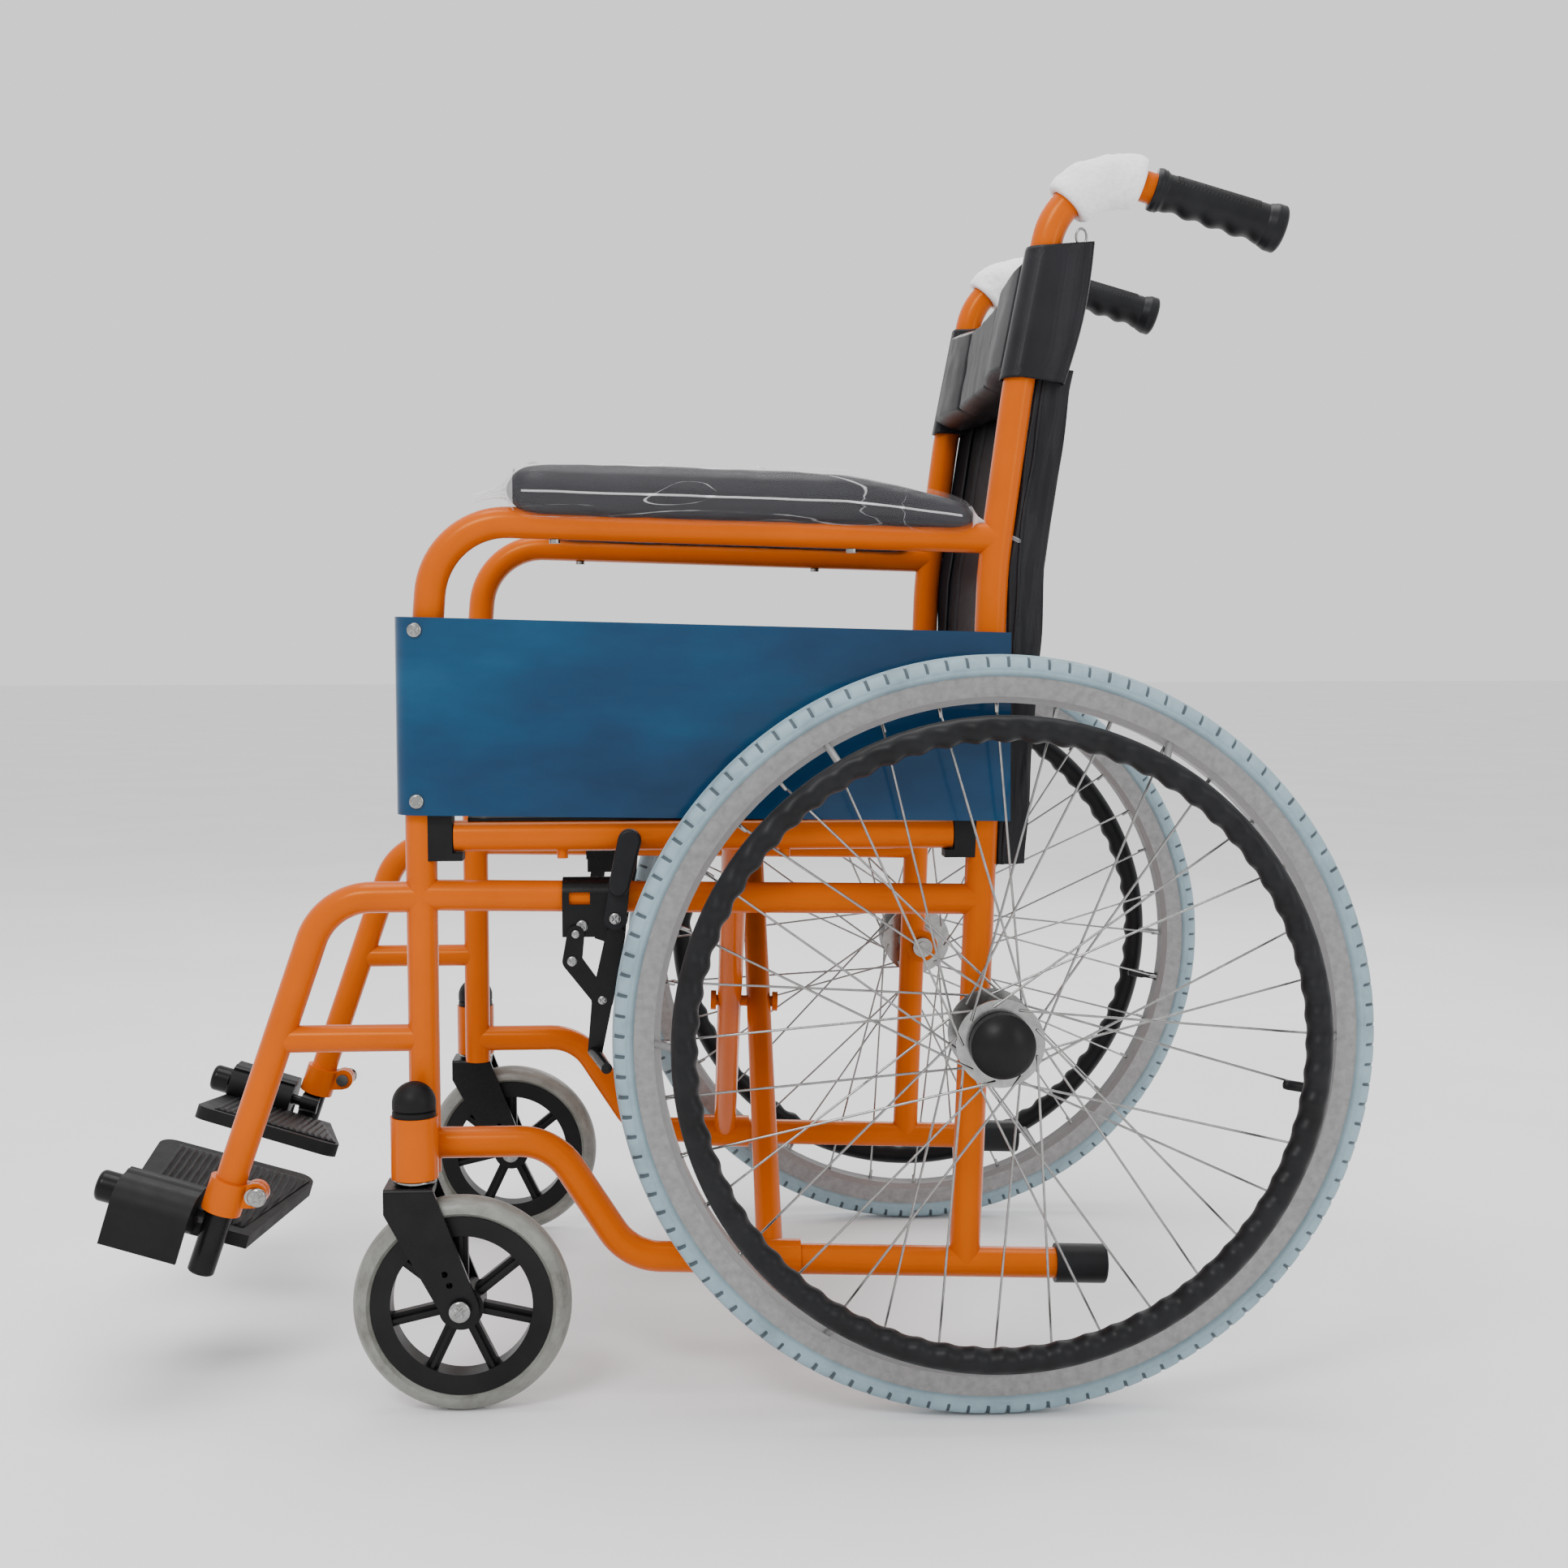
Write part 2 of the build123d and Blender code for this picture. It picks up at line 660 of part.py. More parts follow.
# ---------------------------------------------------------------- wheel lock
lever_pivot = (fore(303), 398)
arm_pivot = (fore(303), 383.5)
lock_pin_r = 3.0
arm_outer_y = 245.4
arm_thickness = 3.2
lever_inner_y = 246.0
bracket_front_x = fore(346)
bracket_rear_x = fore(306)
bracket_rail_z = lower_rail_rear_z + (lower_rail_front_z - lower_rail_rear_z) * (325 - 5) / 455
bracket_bottom_z = 382.0
clamp_bore_r = tube_r + 0.8
clamp_r = clamp_bore_r + 2.5
with BuildPart() as brake_bracket:
    with BuildSketch(Plane.YZ.offset(bracket_rear_x)):
        with Locations((frame_y, bracket_rail_z)):
            Circle(clamp_r)
            Circle(clamp_bore_r, mode=Mode.SUBTRACT)
        with Locations((frame_y, bracket_rail_z - 20)):
            Rectangle(2 * clamp_bore_r, 40, mode=Mode.SUBTRACT)
        plate_mid_y = frame_y + (clamp_bore_r + clamp_r) / 2
        with Locations((plate_mid_y, (bracket_bottom_z + bracket_rail_z + 3) / 2)):
            Rectangle(2.5, bracket_rail_z + 3 - bracket_bottom_z)
        with Locations((2 * frame_y - plate_mid_y, bracket_rail_z - 6)):
            Rectangle(2.5, 18)
    extrude(amount=bracket_front_x - bracket_rear_x)
    with BuildSketch(Plane.XZ.offset(-(frame_y + clamp_r + 2))):
        with Locations((fore(332), bracket_rail_z)):
            Rectangle(17, 10)
        with Locations((fore(314), 396)):
            SlotOverall(10, 5)
    extrude(amount=10, mode=Mode.SUBTRACT)
    with BuildSketch(Plane.XZ.offset(-(frame_y + clamp_r))):
        with Locations(lever_pivot):
            Circle(9)
        with Locations(arm_pivot):
            Circle(8)
        with Locations((fore(313), 392)):
            Rectangle(14, 22)
        make_hull()
    extrude(amount=clamp_r - clamp_bore_r)
    plate_y = frame_y + clamp_bore_r + 1
    add(rod((arm_pivot[0], plate_y, arm_pivot[1]), (arm_pivot[0], arm_outer_y, arm_pivot[1]), lock_pin_r))
    lever_pin_end = (lever_pivot[0], lever_inner_y + 5, lever_pivot[1])
    add(rod((lever_pivot[0], plate_y, lever_pivot[1]), lever_pin_end, lock_pin_r))
save_pair(brake_bracket.part, "brake_bracket")

lever_plate = 4.0
lever_grip_width = 12.0
lever_tip = (fore(291), 461)
with BuildPart() as brake_lever:
    with BuildSketch(Plane.XZ.offset(-(lever_inner_y + lever_plate))):
        with Locations(lever_pivot):
            Circle(9)
        with Locations((fore(299), 425)):
            Circle(8)
        make_hull()
        with Locations(lever_pivot):
            Circle(lock_pin_r + running_gap, mode=Mode.SUBTRACT)
    extrude(amount=lever_plate)
    with BuildSketch(Plane.XZ.offset(-(lever_inner_y + lever_grip_width))):
        with Locations((fore(299.5), 425)):
            Circle(8.5)
        with Locations(lever_tip):
            Circle(9.5)
        make_hull()
    extrude(amount=lever_grip_width)
    fillet(brake_lever.faces().sort_by(Axis.Y)[-1].edges(), 2.5)
save_pair(brake_lever.part, "brake_lever")

link_foot = (fore(314), 331)
link_knee = (fore(338), 363)
link_top = (fore(335), 385)
arm_foot = (fore(320), 290)
shoe_r = 4.4
arm_runs = [
    (arm_pivot, 8, link_foot, 9),
    (link_foot, 8.5, arm_foot, 6),
    (link_foot, 7, link_knee, 8),
    (link_knee, 8, link_top, 7),
]
with BuildPart() as brake_arm:
    for run_start, start_r, run_end, end_r in arm_runs:
        with BuildSketch(Plane.XZ.offset(-arm_outer_y)):
            with Locations(run_start):
                Circle(start_r)
            with Locations(run_end):
                Circle(end_r)
            make_hull()
        extrude(amount=arm_thickness)
    bore_ends = ((arm_pivot[0], 240, arm_pivot[1]), (arm_pivot[0], 250, arm_pivot[1]))
    add(rod(*bore_ends, lock_pin_r + running_gap), mode=Mode.SUBTRACT)
    shoe_start = (arm_foot[0] + 2, arm_outer_y - arm_thickness, arm_foot[1] - 1)
    shoe_end = (fore(309.4), 289, 284)
    add(rod(shoe_start, shoe_end, shoe_r))
save_pair(brake_arm.part, "brake_arm")

# ---------------------------------------------------------------- footrest tube, hinge pin and bumper
footplate_tilt = radians(17)
hinge_foot = (leg_x(148), 212.0, 148.0)
toe_dir = (cos(footplate_tilt), 0, sin(footplate_tilt))
hinge_pin_r = 5.0
bumper_start = 85.0
bumper_length = 18.02
bumper_r = 13.0
inner_tube_r = tube_r - tube_wall - 0.1


def along_hinge(distance):
    """Point on the footplate hinge's axis."""
    return tuple(hinge_foot[axis] + distance * toe_dir[axis] for axis in range(3))


with BuildPart() as footrest_tube:
    add(rod(leg_point(270), leg_point(107), inner_tube_r))
    fillet(footrest_tube.edges().sort_by(Axis.Z)[0], 2)
    add(rod(along_hinge(-6), along_hinge(bumper_start + bumper_length - 4), hinge_pin_r))
    add(rod(along_hinge(-8), along_hinge(10), 9))
    add(rod(along_hinge(bumper_start), along_hinge(bumper_start + bumper_length), bumper_r))
    fillet(footrest_tube.edges().sort_by(Axis.X)[-1], 5)
save_pair(footrest_tube.part, "footrest_tube")

plate_roll = -8.0
toe_up = (-sin(footplate_tilt), 0, cos(footplate_tilt))
plate_plane = Plane(origin=hinge_foot, x_dir=toe_dir, z_dir=toe_up).rotated((plate_roll, 0, 0))
plate_top = -12.0
plate_thickness = 12.0
plate_corner_r = 14.0
cover_rear = 19.0
cover_front = 83.0
with BuildPart() as footplate:
    with BuildSketch(plate_plane.offset(plate_top - plate_thickness)) as outline:
        Polygon((82, -6), (82, -152), (-61, -152), (-26, -6), align=None)
        fillet(outline.vertices().sort_by(Axis.Y)[:2], plate_corner_r)
    extrude(amount=plate_thickness)
    cover_plane = Plane(origin=along_hinge(cover_rear), x_dir=(0, 1, 0), z_dir=toe_dir)
    with BuildSketch(cover_plane):
        Circle(19)
        with BuildLine():
            Polyline((-12, 18), (20, 18))
            ThreePointArc((20, 18), (34, 12), (40, -2))
            Polyline((40, -2), (40, -34), (36, -34), (36, -6), (0, -18), (-12, 18))
        make_face()
    extrude(amount=cover_front - cover_rear)
    add(rod(along_hinge(-20), along_hinge(bumper_start), hinge_pin_r + running_gap), mode=Mode.SUBTRACT)
save_pair(footplate.part, "footplate")

# ---------------------------------------------------------------- cross brace
fold_axis = Vector(cos(rail_slope), 0, sin(rail_slope))
pivot_a = Vector(brace_a_x, frame_y, base_rail_z(brace_a_x))
pivot_b = Vector(brace_b_x, -frame_y, base_rail_z(brace_b_x))
mid_x = (brace_a_x + brace_b_x) / 2
pivot_mid = Vector(mid_x, 0, (base_rail_z(mid_x) + seat_rail_z) / 2)
bolt_half = 26.0


def brace(pivot, bolt_hole_r):
    """Diagonal tube with a sleeve on the base rail below and the opposite seat rail above."""
    top = Vector(pivot.X, -pivot.Y, seat_rail_z)
    sleeve_ends = (pivot - fold_axis * (sleeve_length / 2), pivot + fold_axis * (sleeve_length / 2))
    rail_ends = ((seat_rail_rear_x, -pivot.Y, seat_rail_z), (seat_rail_front_x, -pivot.Y, seat_rail_z))
    bolt_ends = (pivot_mid - fold_axis * 60, pivot_mid + fold_axis * 60)
    with BuildPart() as cross:
        add(ring(tuple(pivot), tuple(top), brace_r, brace_r - tube_wall))
        add(rod(*[tuple(end) for end in sleeve_ends], sleeve_r), mode=Mode.SUBTRACT)
        add(rod(*rail_ends, tube_r), mode=Mode.SUBTRACT)
        add(ring(*[tuple(end) for end in sleeve_ends], sleeve_r, sleeve_bore_r))
        add(ring(*rail_ends, tube_r, tube_r - tube_wall))
        for nut_x in (fore(346), fore(165)):
            nut_foot = (nut_x, -pivot.Y, seat_rail_z - tube_r - 6)
            add(rod(nut_foot, (nut_x, -pivot.Y, seat_rail_z - tube_r + 1), 4.5))
        add(rod(*[tuple(end) for end in bolt_ends], bolt_hole_r), mode=Mode.SUBTRACT)
    return cross.part


with BuildPart() as cross_brace_a:
    add(brace(pivot_a, brace_bolt_r))
    bolt_ends = (pivot_mid - fold_axis * bolt_half, pivot_mid + fold_axis * bolt_half)
    add(rod(*[tuple(end) for end in bolt_ends], brace_bolt_r))
    add(rod(tuple(bolt_ends[0] - fold_axis * 5), tuple(bolt_ends[0]), 9))
    add(rod(tuple(bolt_ends[1]), tuple(bolt_ends[1] + fold_axis * 5), 9))
save(cross_brace_a.part, "cross_brace_a")

with BuildPart() as cross_brace_b:
    add(brace(pivot_b, brace_bolt_r + running_gap))
save(cross_brace_b.part, "cross_brace_b")

# ---------------------------------------------------------------- seat rail saddles
with BuildPart() as rail_saddles:
    with BuildSketch(Plane.XZ.offset(-(frame_y + 11))):
        Polygon(
            (seat_rail_front_x + 1, 486),
            (front_post_x, 486),
            (front_post_x, 444),
            (seat_rail_front_x - 7, 444),
            (seat_rail_front_x - 7, 450.3),
            (seat_rail_front_x + 1, 450.3),
            align=None,
        )
        Polygon(
            (seat_rail_rear_x - 1, 486),
            (fore(4), 486),
            (fore(4), 444),
            (seat_rail_rear_x + 7, 444),
            (seat_rail_rear_x + 7, 450.3),
            (seat_rail_rear_x - 1, 450.3),
            align=None,
        )
    extrude(amount=22)
    add(front_post_core, mode=Mode.SUBTRACT)
    add(back_post_core, mode=Mode.SUBTRACT)
save_pair(rail_saddles.part, "rail_saddles")

# ---------------------------------------------------------------- upholstery
sling_rear_x = fore(34)
sling_front_x = fore(424)
sling_bottom = seat_rail_z + tube_r + 0.3
sling_thickness = 5.0
sling_sag = 14.0
sling_half = 226.0
with BuildPart() as seat_sling:
    with BuildSketch(Plane.YZ.offset(sling_rear_x)):
        with BuildLine():
            Line((-sling_half, sling_bottom), (-sling_half, sling_bottom + sling_thickness))
            Line((-sling_half, sling_bottom + sling_thickness), (-204, sling_bottom + sling_thickness))
            ThreePointArc(
                (-204, sling_bottom + sling_thickness),
                (0, sling_bottom + sling_thickness - sling_sag),
                (204, sling_bottom + sling_thickness),
            )
            Line((204, sling_bottom + sling_thickness), (sling_half, sling_bottom + sling_thickness))
            Line((sling_half, sling_bottom + sling_thickness), (sling_half, sling_bottom))
            Line((sling_half, sling_bottom), (204, sling_bottom))
            ThreePointArc((204, sling_bottom), (0, sling_bottom - sling_sag), (-204, sling_bottom))
            Line((-204, sling_bottom), (-sling_half, sling_bottom))
        make_face()
    extrude(amount=sling_front_x - sling_rear_x)
save(seat_sling.part, "seat_sling")

back_bottom = (fore(-20), 446)
back_knee = (fore(-27), 690)
back_shoulder = (fore(-48), 834)
back_top = (fore(-70), 941)
back_bulge = 26.0
back_thickness = 6.0
back_half = 208.0


def back_run(start, end):
    """Bulging back panel between two levels."""
    rise = Vector(end[0] - start[0], 0, end[1] - start[1])
    with BuildPart() as run:
        with BuildSketch(Plane(origin=(start[0], 0, start[1]), x_dir=(0, 1, 0), z_dir=(0, 0, 1))):
            with BuildLine():
                ThreePointArc((-back_half, 0), (0, back_bulge), (back_half, 0))
                Line((back_half, 0), (back_half, back_thickness))
                ThreePointArc(
                    (back_half, back_thickness),
                    (0, back_bulge + back_thickness),
                    (-back_half, back_thickness),
                )
                Line((-back_half, back_thickness), (-back_half, 0))
            make_face()
        extrude(amount=rise.length, dir=tuple(rise.normalized()))
    return run.part


sleeve_low = (fore(-27), frame_y, 836)
sleeve_high = (fore(-47), frame_y, 936)
with BuildPart() as back_sling:
    add(back_run(back_bottom, back_knee))
    add(back_run(back_knee, back_shoulder))
    add(back_run(back_shoulder, back_top))
    for hand in (1, -1):
        low = (sleeve_low[0], hand * frame_y, sleeve_low[2])
        high = (sleeve_high[0], hand * frame_y, sleeve_high[2])
        add(rod(low, high, 17.2))
        add(rod(low, high, 14.2), mode=Mode.SUBTRACT)
save(back_sling.part, "back_sling")

# ---------------------------------------------------------------- fasteners fixed to the side frames
with BuildPart() as frame_fasteners:
    axle_end = wheel_y + hub_end + 8
    add(rod((axle_x, frame_y - 26, axle_z), (axle_x, axle_end, axle_z), axle_r))
    add(rod((axle_x, frame_y - 24, axle_z), (axle_x, frame_y - tube_r - 1, axle_z), 10))
    add(rod((axle_x, boss_end_y, axle_z), (axle_x, wheel_y - hub_end - 0.5, axle_z), 10))
    add(rod((axle_x, wheel_y + hub_end + 0.5, axle_z), (axle_x, wheel_y + hub_end + 7, axle_z), 10))
    for screw_z in skirt_screw_z:
        add(rod((screw_x, frame_y + 8, screw_z), (screw_x, panel_inner_y + 3, screw_z), 2.0))
        head_base = panel_inner_y + panel_thickness
        add(rod((screw_x, head_base, screw_z), (screw_x, head_base + 2.6, screw_z), 4.6))
    add(rod((ear_x, frame_y - 13, collar_mid_z), (ear_x, frame_y + 13, collar_mid_z), 2.9))
    add(rod((ear_x, frame_y + 7.5, collar_mid_z), (ear_x, frame_y + 13.5, collar_mid_z), 7))
    add(rod((ear_x, frame_y - 12.5, collar_mid_z), (ear_x, frame_y - 7.5, collar_mid_z), 6))
    for screw_x_pad, screw_z_pad in ((fore(350), 715.3), (fore(110), 707.8)):
        foot = (screw_x_pad, frame_y, screw_z_pad - tube_r - 3)
        add(rod(foot, (screw_x_pad, frame_y, screw_z_pad - tube_r), 4.5))
save_pair(frame_fasteners.part, "frame_fasteners")
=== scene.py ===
import json
from math import atan2, cos, exp, pi, radians, sin, sqrt, tan

import bmesh
import bpy
import numpy as np
from mathutils import Matrix, Vector, noise


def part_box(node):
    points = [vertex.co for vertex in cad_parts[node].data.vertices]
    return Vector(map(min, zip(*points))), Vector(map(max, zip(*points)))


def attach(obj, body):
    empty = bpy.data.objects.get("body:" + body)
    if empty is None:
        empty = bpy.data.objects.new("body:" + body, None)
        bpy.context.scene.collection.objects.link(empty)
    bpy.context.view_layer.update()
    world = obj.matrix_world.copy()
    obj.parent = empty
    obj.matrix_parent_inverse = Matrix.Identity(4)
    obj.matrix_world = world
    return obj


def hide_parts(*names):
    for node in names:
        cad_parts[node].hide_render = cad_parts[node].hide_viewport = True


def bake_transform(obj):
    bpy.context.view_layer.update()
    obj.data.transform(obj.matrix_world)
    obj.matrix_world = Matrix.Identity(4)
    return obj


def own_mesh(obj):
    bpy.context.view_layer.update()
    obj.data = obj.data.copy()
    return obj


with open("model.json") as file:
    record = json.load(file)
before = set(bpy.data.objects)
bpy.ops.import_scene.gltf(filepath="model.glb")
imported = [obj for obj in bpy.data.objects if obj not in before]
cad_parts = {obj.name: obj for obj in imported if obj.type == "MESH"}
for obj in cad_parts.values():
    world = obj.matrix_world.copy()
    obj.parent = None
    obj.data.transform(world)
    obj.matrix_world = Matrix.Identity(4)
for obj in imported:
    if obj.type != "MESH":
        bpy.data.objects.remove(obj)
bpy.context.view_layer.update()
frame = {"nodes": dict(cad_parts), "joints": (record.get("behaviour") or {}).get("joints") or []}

# ------------------------------------------------------------------ places taken from the frame
MM = 0.001
JOINTS = {joint["name"]: joint for joint in frame["joints"]}
SIDES = {"left": 1, "right": -1}


def pivot(name):
    """A joint's place at rest."""
    return Vector(JOINTS[name]["pos_m"])


AXLE = pivot("wheel_spin_left")
AXLE_X = AXLE.x
FRAME_Y = 0.225
TUBE_R = 0.0127


def fore(distance_mm):
    """X of a point the given millimetres ahead of the rear axle."""
    return AXLE_X + distance_mm * MM


# ------------------------------------------------------------------ camera and light
SENSOR_WIDTH = 36.0
FOCAL_LENGTH = 47.64
CAMERA_PITCH, CAMERA_YAW, CAMERA_ROLL = 0.068, -0.0516, -0.0058
CAMERA_AHEAD, CAMERA_LEFT, CAMERA_HEIGHT = 0.2528, 1.914, 0.6192


def add_camera():
    """Camera on the chair's left, looking nearly square to its side."""
    data = bpy.data.cameras.new("camera")
    data.sensor_width = SENSOR_WIDTH
    data.lens = FOCAL_LENGTH
    camera = bpy.data.objects.new("camera", data)
    bpy.context.scene.collection.objects.link(camera)
    pitch = Matrix.Rotation(CAMERA_PITCH, 3, "X")
    yaw = Matrix.Rotation(CAMERA_YAW, 3, "Y")
    roll = Matrix.Rotation(CAMERA_ROLL, 3, "Z")
    turn = roll @ yaw @ pitch
    base = Matrix(((-1, 0, 0), (0, 0, -1), (0, -1, 0)))
    rows = turn @ base
    right, down, ahead = rows[0], rows[1], rows[2]
    columns = Matrix((right, -down, -ahead)).transposed()
    place = Matrix.Translation((AXLE_X + CAMERA_AHEAD, CAMERA_LEFT, CAMERA_HEIGHT))
    camera.matrix_world = place @ columns.to_4x4()
    bpy.context.scene.camera = camera


def add_area(name, place, target, size, power):
    data = bpy.data.lights.new(name, "AREA")
    data.energy = power
    data.shape = "RECTANGLE"
    data.size = size[0]
    data.size_y = size[1]
    lamp = bpy.data.objects.new(name, data)
    bpy.context.scene.collection.objects.link(lamp)
    lamp.location = place
    lamp.rotation_euler = (Vector(target) - Vector(place)).to_track_quat("-Z", "Y").to_euler()


def add_studio():
    world = bpy.data.worlds.new("studio")
    bpy.context.scene.world = world
    world.use_nodes = True
    background = world.node_tree.nodes["Background"]
    background.inputs["Color"].default_value = (1.0, 1.0, 1.0, 1)
    background.inputs["Strength"].default_value = 1.15
    add_area("key", (1.2, 2.6, 2.9), (0, 0, 0.4), (1.2, 0.9), 62)
    add_area("fill", (-2.4, 2.2, 1.4), (0, 0, 0.5), (0.7, 1.6), 16)
    add_area("top", (0.0, -0.2, 3.2), (0, 0, 0.3), (2.2, 1.6), 60)
    add_area("back", (-0.8, -2.6, 2.0), (0, 0, 0.5), (1.4, 1.0), 22)


def add_floor():
    bpy.ops.mesh.primitive_plane_add(size=60, location=(0, 0, 0))
    floor = bpy.context.object
    floor.name = "studio_floor"
    floor.data.materials.append(floor_material())


# ------------------------------------------------------------------ material helpers
class Shader:
    """A node material under construction."""

    def __init__(self, name, colour, roughness, metallic=0.0):
        self.material = bpy.data.materials.new(name)
        self.material.use_nodes = True
        self.nodes = self.material.node_tree.nodes
        self.links = self.material.node_tree.links
        self.bsdf = self.nodes["Principled BSDF"]
        self.bsdf.inputs["Base Color"].default_value = (*colour, 1)
        self.bsdf.inputs["Roughness"].default_value = roughness
        self.bsdf.inputs["Metallic"].default_value = metallic
        self.coords = self.nodes.new("ShaderNodeTexCoord").outputs["Object"]

    def set(self, **values):
        for key, value in values.items():
            self.bsdf.inputs[key.replace("_", " ")].default_value = value
        return self

    def scaled(self, scale):
        """Object coordinates stretched by (x, y, z)."""
        mapping = self.nodes.new("ShaderNodeMapping")
        mapping.inputs["Scale"].default_value = scale
        self.links.new(self.coords, mapping.inputs["Vector"])
        return mapping.outputs["Vector"]

    def noise(self, scale, detail=4.0, rough=0.6, vector=None):
        node = self.nodes.new("ShaderNodeTexNoise")
        node.inputs["Scale"].default_value = scale
        node.inputs["Detail"].default_value = detail
        node.inputs["Roughness"].default_value = rough
        self.links.new(vector or self.coords, node.inputs["Vector"])
        return node.outputs["Fac"]

    def waves(self, scale, direction, distortion):
        node = self.nodes.new("ShaderNodeTexWave")
        node.bands_direction = direction
        node.inputs["Scale"].default_value = scale
        node.inputs["Distortion"].default_value = distortion
        self.links.new(self.coords, node.inputs["Vector"])
        return node.outputs["Fac"]

    def maths(self, operation, first, second=0.5):
        node = self.nodes.new("ShaderNodeMath")
        node.operation = operation
        for socket, value in zip(node.inputs, (first, second)):
            if isinstance(value, (int, float)):
                socket.default_value = value
            else:
                self.links.new(value, socket)
        return node.outputs[0]

    def ramp(self, factor, stops):
        """Colour ramp from (position, colour) stops."""
        node = self.nodes.new("ShaderNodeValToRGB")
        elements = node.color_ramp.elements
        while len(elements) < len(stops):
            elements.new(0.5)
        for element, (place, colour) in zip(elements, stops):
            element.position = place
            element.color = (*colour, 1)
        self.links.new(factor, node.inputs["Fac"])
        return node.outputs["Color"]

    def paint(self, output):
        self.links.new(output, self.bsdf.inputs["Base Color"])
        return self

    def gloss(self, factor, low, high):
        """Roughness that runs from low to high with a 0 to 1 factor."""
        node = self.nodes.new("ShaderNodeMapRange")
        node.inputs["To Min"].default_value = low
        node.inputs["To Max"].default_value = high
        self.links.new(factor, node.inputs["Value"])
        self.links.new(node.outputs["Result"], self.bsdf.inputs["Roughness"])
        return self

    def bump(self, height, distance, strength=1.0):
        node = self.nodes.new("ShaderNodeBump")
        node.inputs["Distance"].default_value = distance
        node.inputs["Strength"].default_value = strength
        self.links.new(height, node.inputs["Height"])
        self.links.new(node.outputs["Normal"], self.bsdf.inputs["Normal"])
        return self


def shades(colour, low, high):
    """Darker and lighter versions of a colour for a ramp."""
    return [(0.3, tuple(c * low for c in colour)), (0.7, tuple(min(1, c * high) for c in colour))]


# ------------------------------------------------------------------ materials
def floor_material():
    shader = Shader("studio_floor", (0.86, 0.855, 0.86), 0.75)
    marks = shader.noise(2.2, 6)
    shader.paint(shader.ramp(marks, [(0.35, (0.85, 0.842, 0.85)), (0.7, (0.9, 0.895, 0.9))]))
    return shader.material


def paint_material():
    orange = (0.52, 0.088, 0.0004)
    shader = Shader("orange_paint", orange, 0.3)
    shader.paint(shader.ramp(shader.noise(9, 5), shades(orange, 0.9, 1.08)))
    shader.gloss(shader.noise(60, 6), 0.16, 0.3)
    shader.set(Specular_IOR_Level=0.3, Specular_Tint=(1.0, 0.55, 0.16, 1.0))
    shader.bump(shader.noise(180, 3), 0.00012, 0.5)
    return shader.material


def black_enamel_material():
    black = (0.004, 0.004, 0.0045)
    shader = Shader("black_enamel", black, 0.25)
    shader.paint(shader.ramp(shader.noise(40, 6), shades(black, 0.8, 1.6)))
    shader.gloss(shader.noise(90, 5), 0.16, 0.4)
    shader.set(Specular_IOR_Level=0.16)
    shader.bump(shader.noise(240, 4), 0.0001, 0.6)
    return shader.material


def plastic_material(name, grain=900, low=0.38, high=0.6):
    black = (0.0055, 0.0055, 0.006)
    shader = Shader(name, black, 0.5)
    shader.paint(shader.ramp(shader.noise(25, 6), shades(black, 0.75, 1.5)))
    shader.gloss(shader.noise(70, 6), low, high)
    shader.set(Specular_IOR_Level=0.16)
    shader.bump(shader.noise(grain, 3), 0.00012, 0.6)
    return shader.material


def rubber_material():
    black = (0.006, 0.0062, 0.0072)
    shader = Shader("grip_rubber", black, 0.6)
    shader.paint(shader.ramp(shader.noise(30, 6), shades(black, 0.7, 1.7)))
    shader.gloss(shader.noise(45, 5), 0.32, 0.5)
    shader.set(Specular_IOR_Level=0.18)
    shader.bump(shader.noise(1200, 3), 0.00012, 0.5)
    return shader.material


def tyre_material(name, grey):
    shader = Shader(name, grey, 0.6)
    scuffs = shader.noise(26, 8, 0.7)
    dark = tuple(c * 0.78 for c in grey)
    light = tuple(c * 1.12 for c in grey)
    shader.paint(shader.ramp(scuffs, [(0.3, dark), (0.52, grey), (0.75, light)]))
    shader.gloss(shader.noise(80, 6), 0.45, 0.72)
    shader.set(Specular_IOR_Level=0.3)
    shader.bump(shader.noise(420, 5), 0.0003, 0.6)
    return shader.material


def caster_tyre_material():
    grey = (0.17, 0.172, 0.155)
    shader = Shader("caster_grey", grey, 0.4)
    smears = shader.noise(34, 8, 0.75, shader.scaled((1, 3, 1)))
    stops = [(0.3, (0.1, 0.098, 0.082)), (0.5, grey), (0.72, (0.23, 0.235, 0.215))]
    shader.paint(shader.ramp(smears, stops))
    shader.gloss(shader.noise(60, 6), 0.25, 0.55)
    shader.bump(shader.noise(300, 4), 0.00015, 0.5)
    return shader.material


def alloy_material():
    shader = Shader("rim_alloy", (0.25, 0.245, 0.245), 0.4, 0.4)
    lines = shader.noise(160, 6, 0.6, shader.scaled((1, 30, 1)))
    shader.paint(shader.ramp(lines, [(0.3, (0.2, 0.196, 0.196)), (0.7, (0.29, 0.284, 0.284))]))
    shader.gloss(lines, 0.3, 0.5)
    shader.bump(lines, 0.0001, 0.4)
    return shader.material


def steel_material():
    colour = (0.3, 0.3, 0.295)
    shader = Shader("bright_steel", colour, 0.22, 1.0)
    shader.paint(shader.ramp(shader.noise(120, 6), shades(colour, 0.75, 1.15)))
    shader.gloss(shader.noise(200, 6), 0.12, 0.3)
    shader.bump(shader.noise(700, 3), 0.00005, 0.4)
    return shader.material


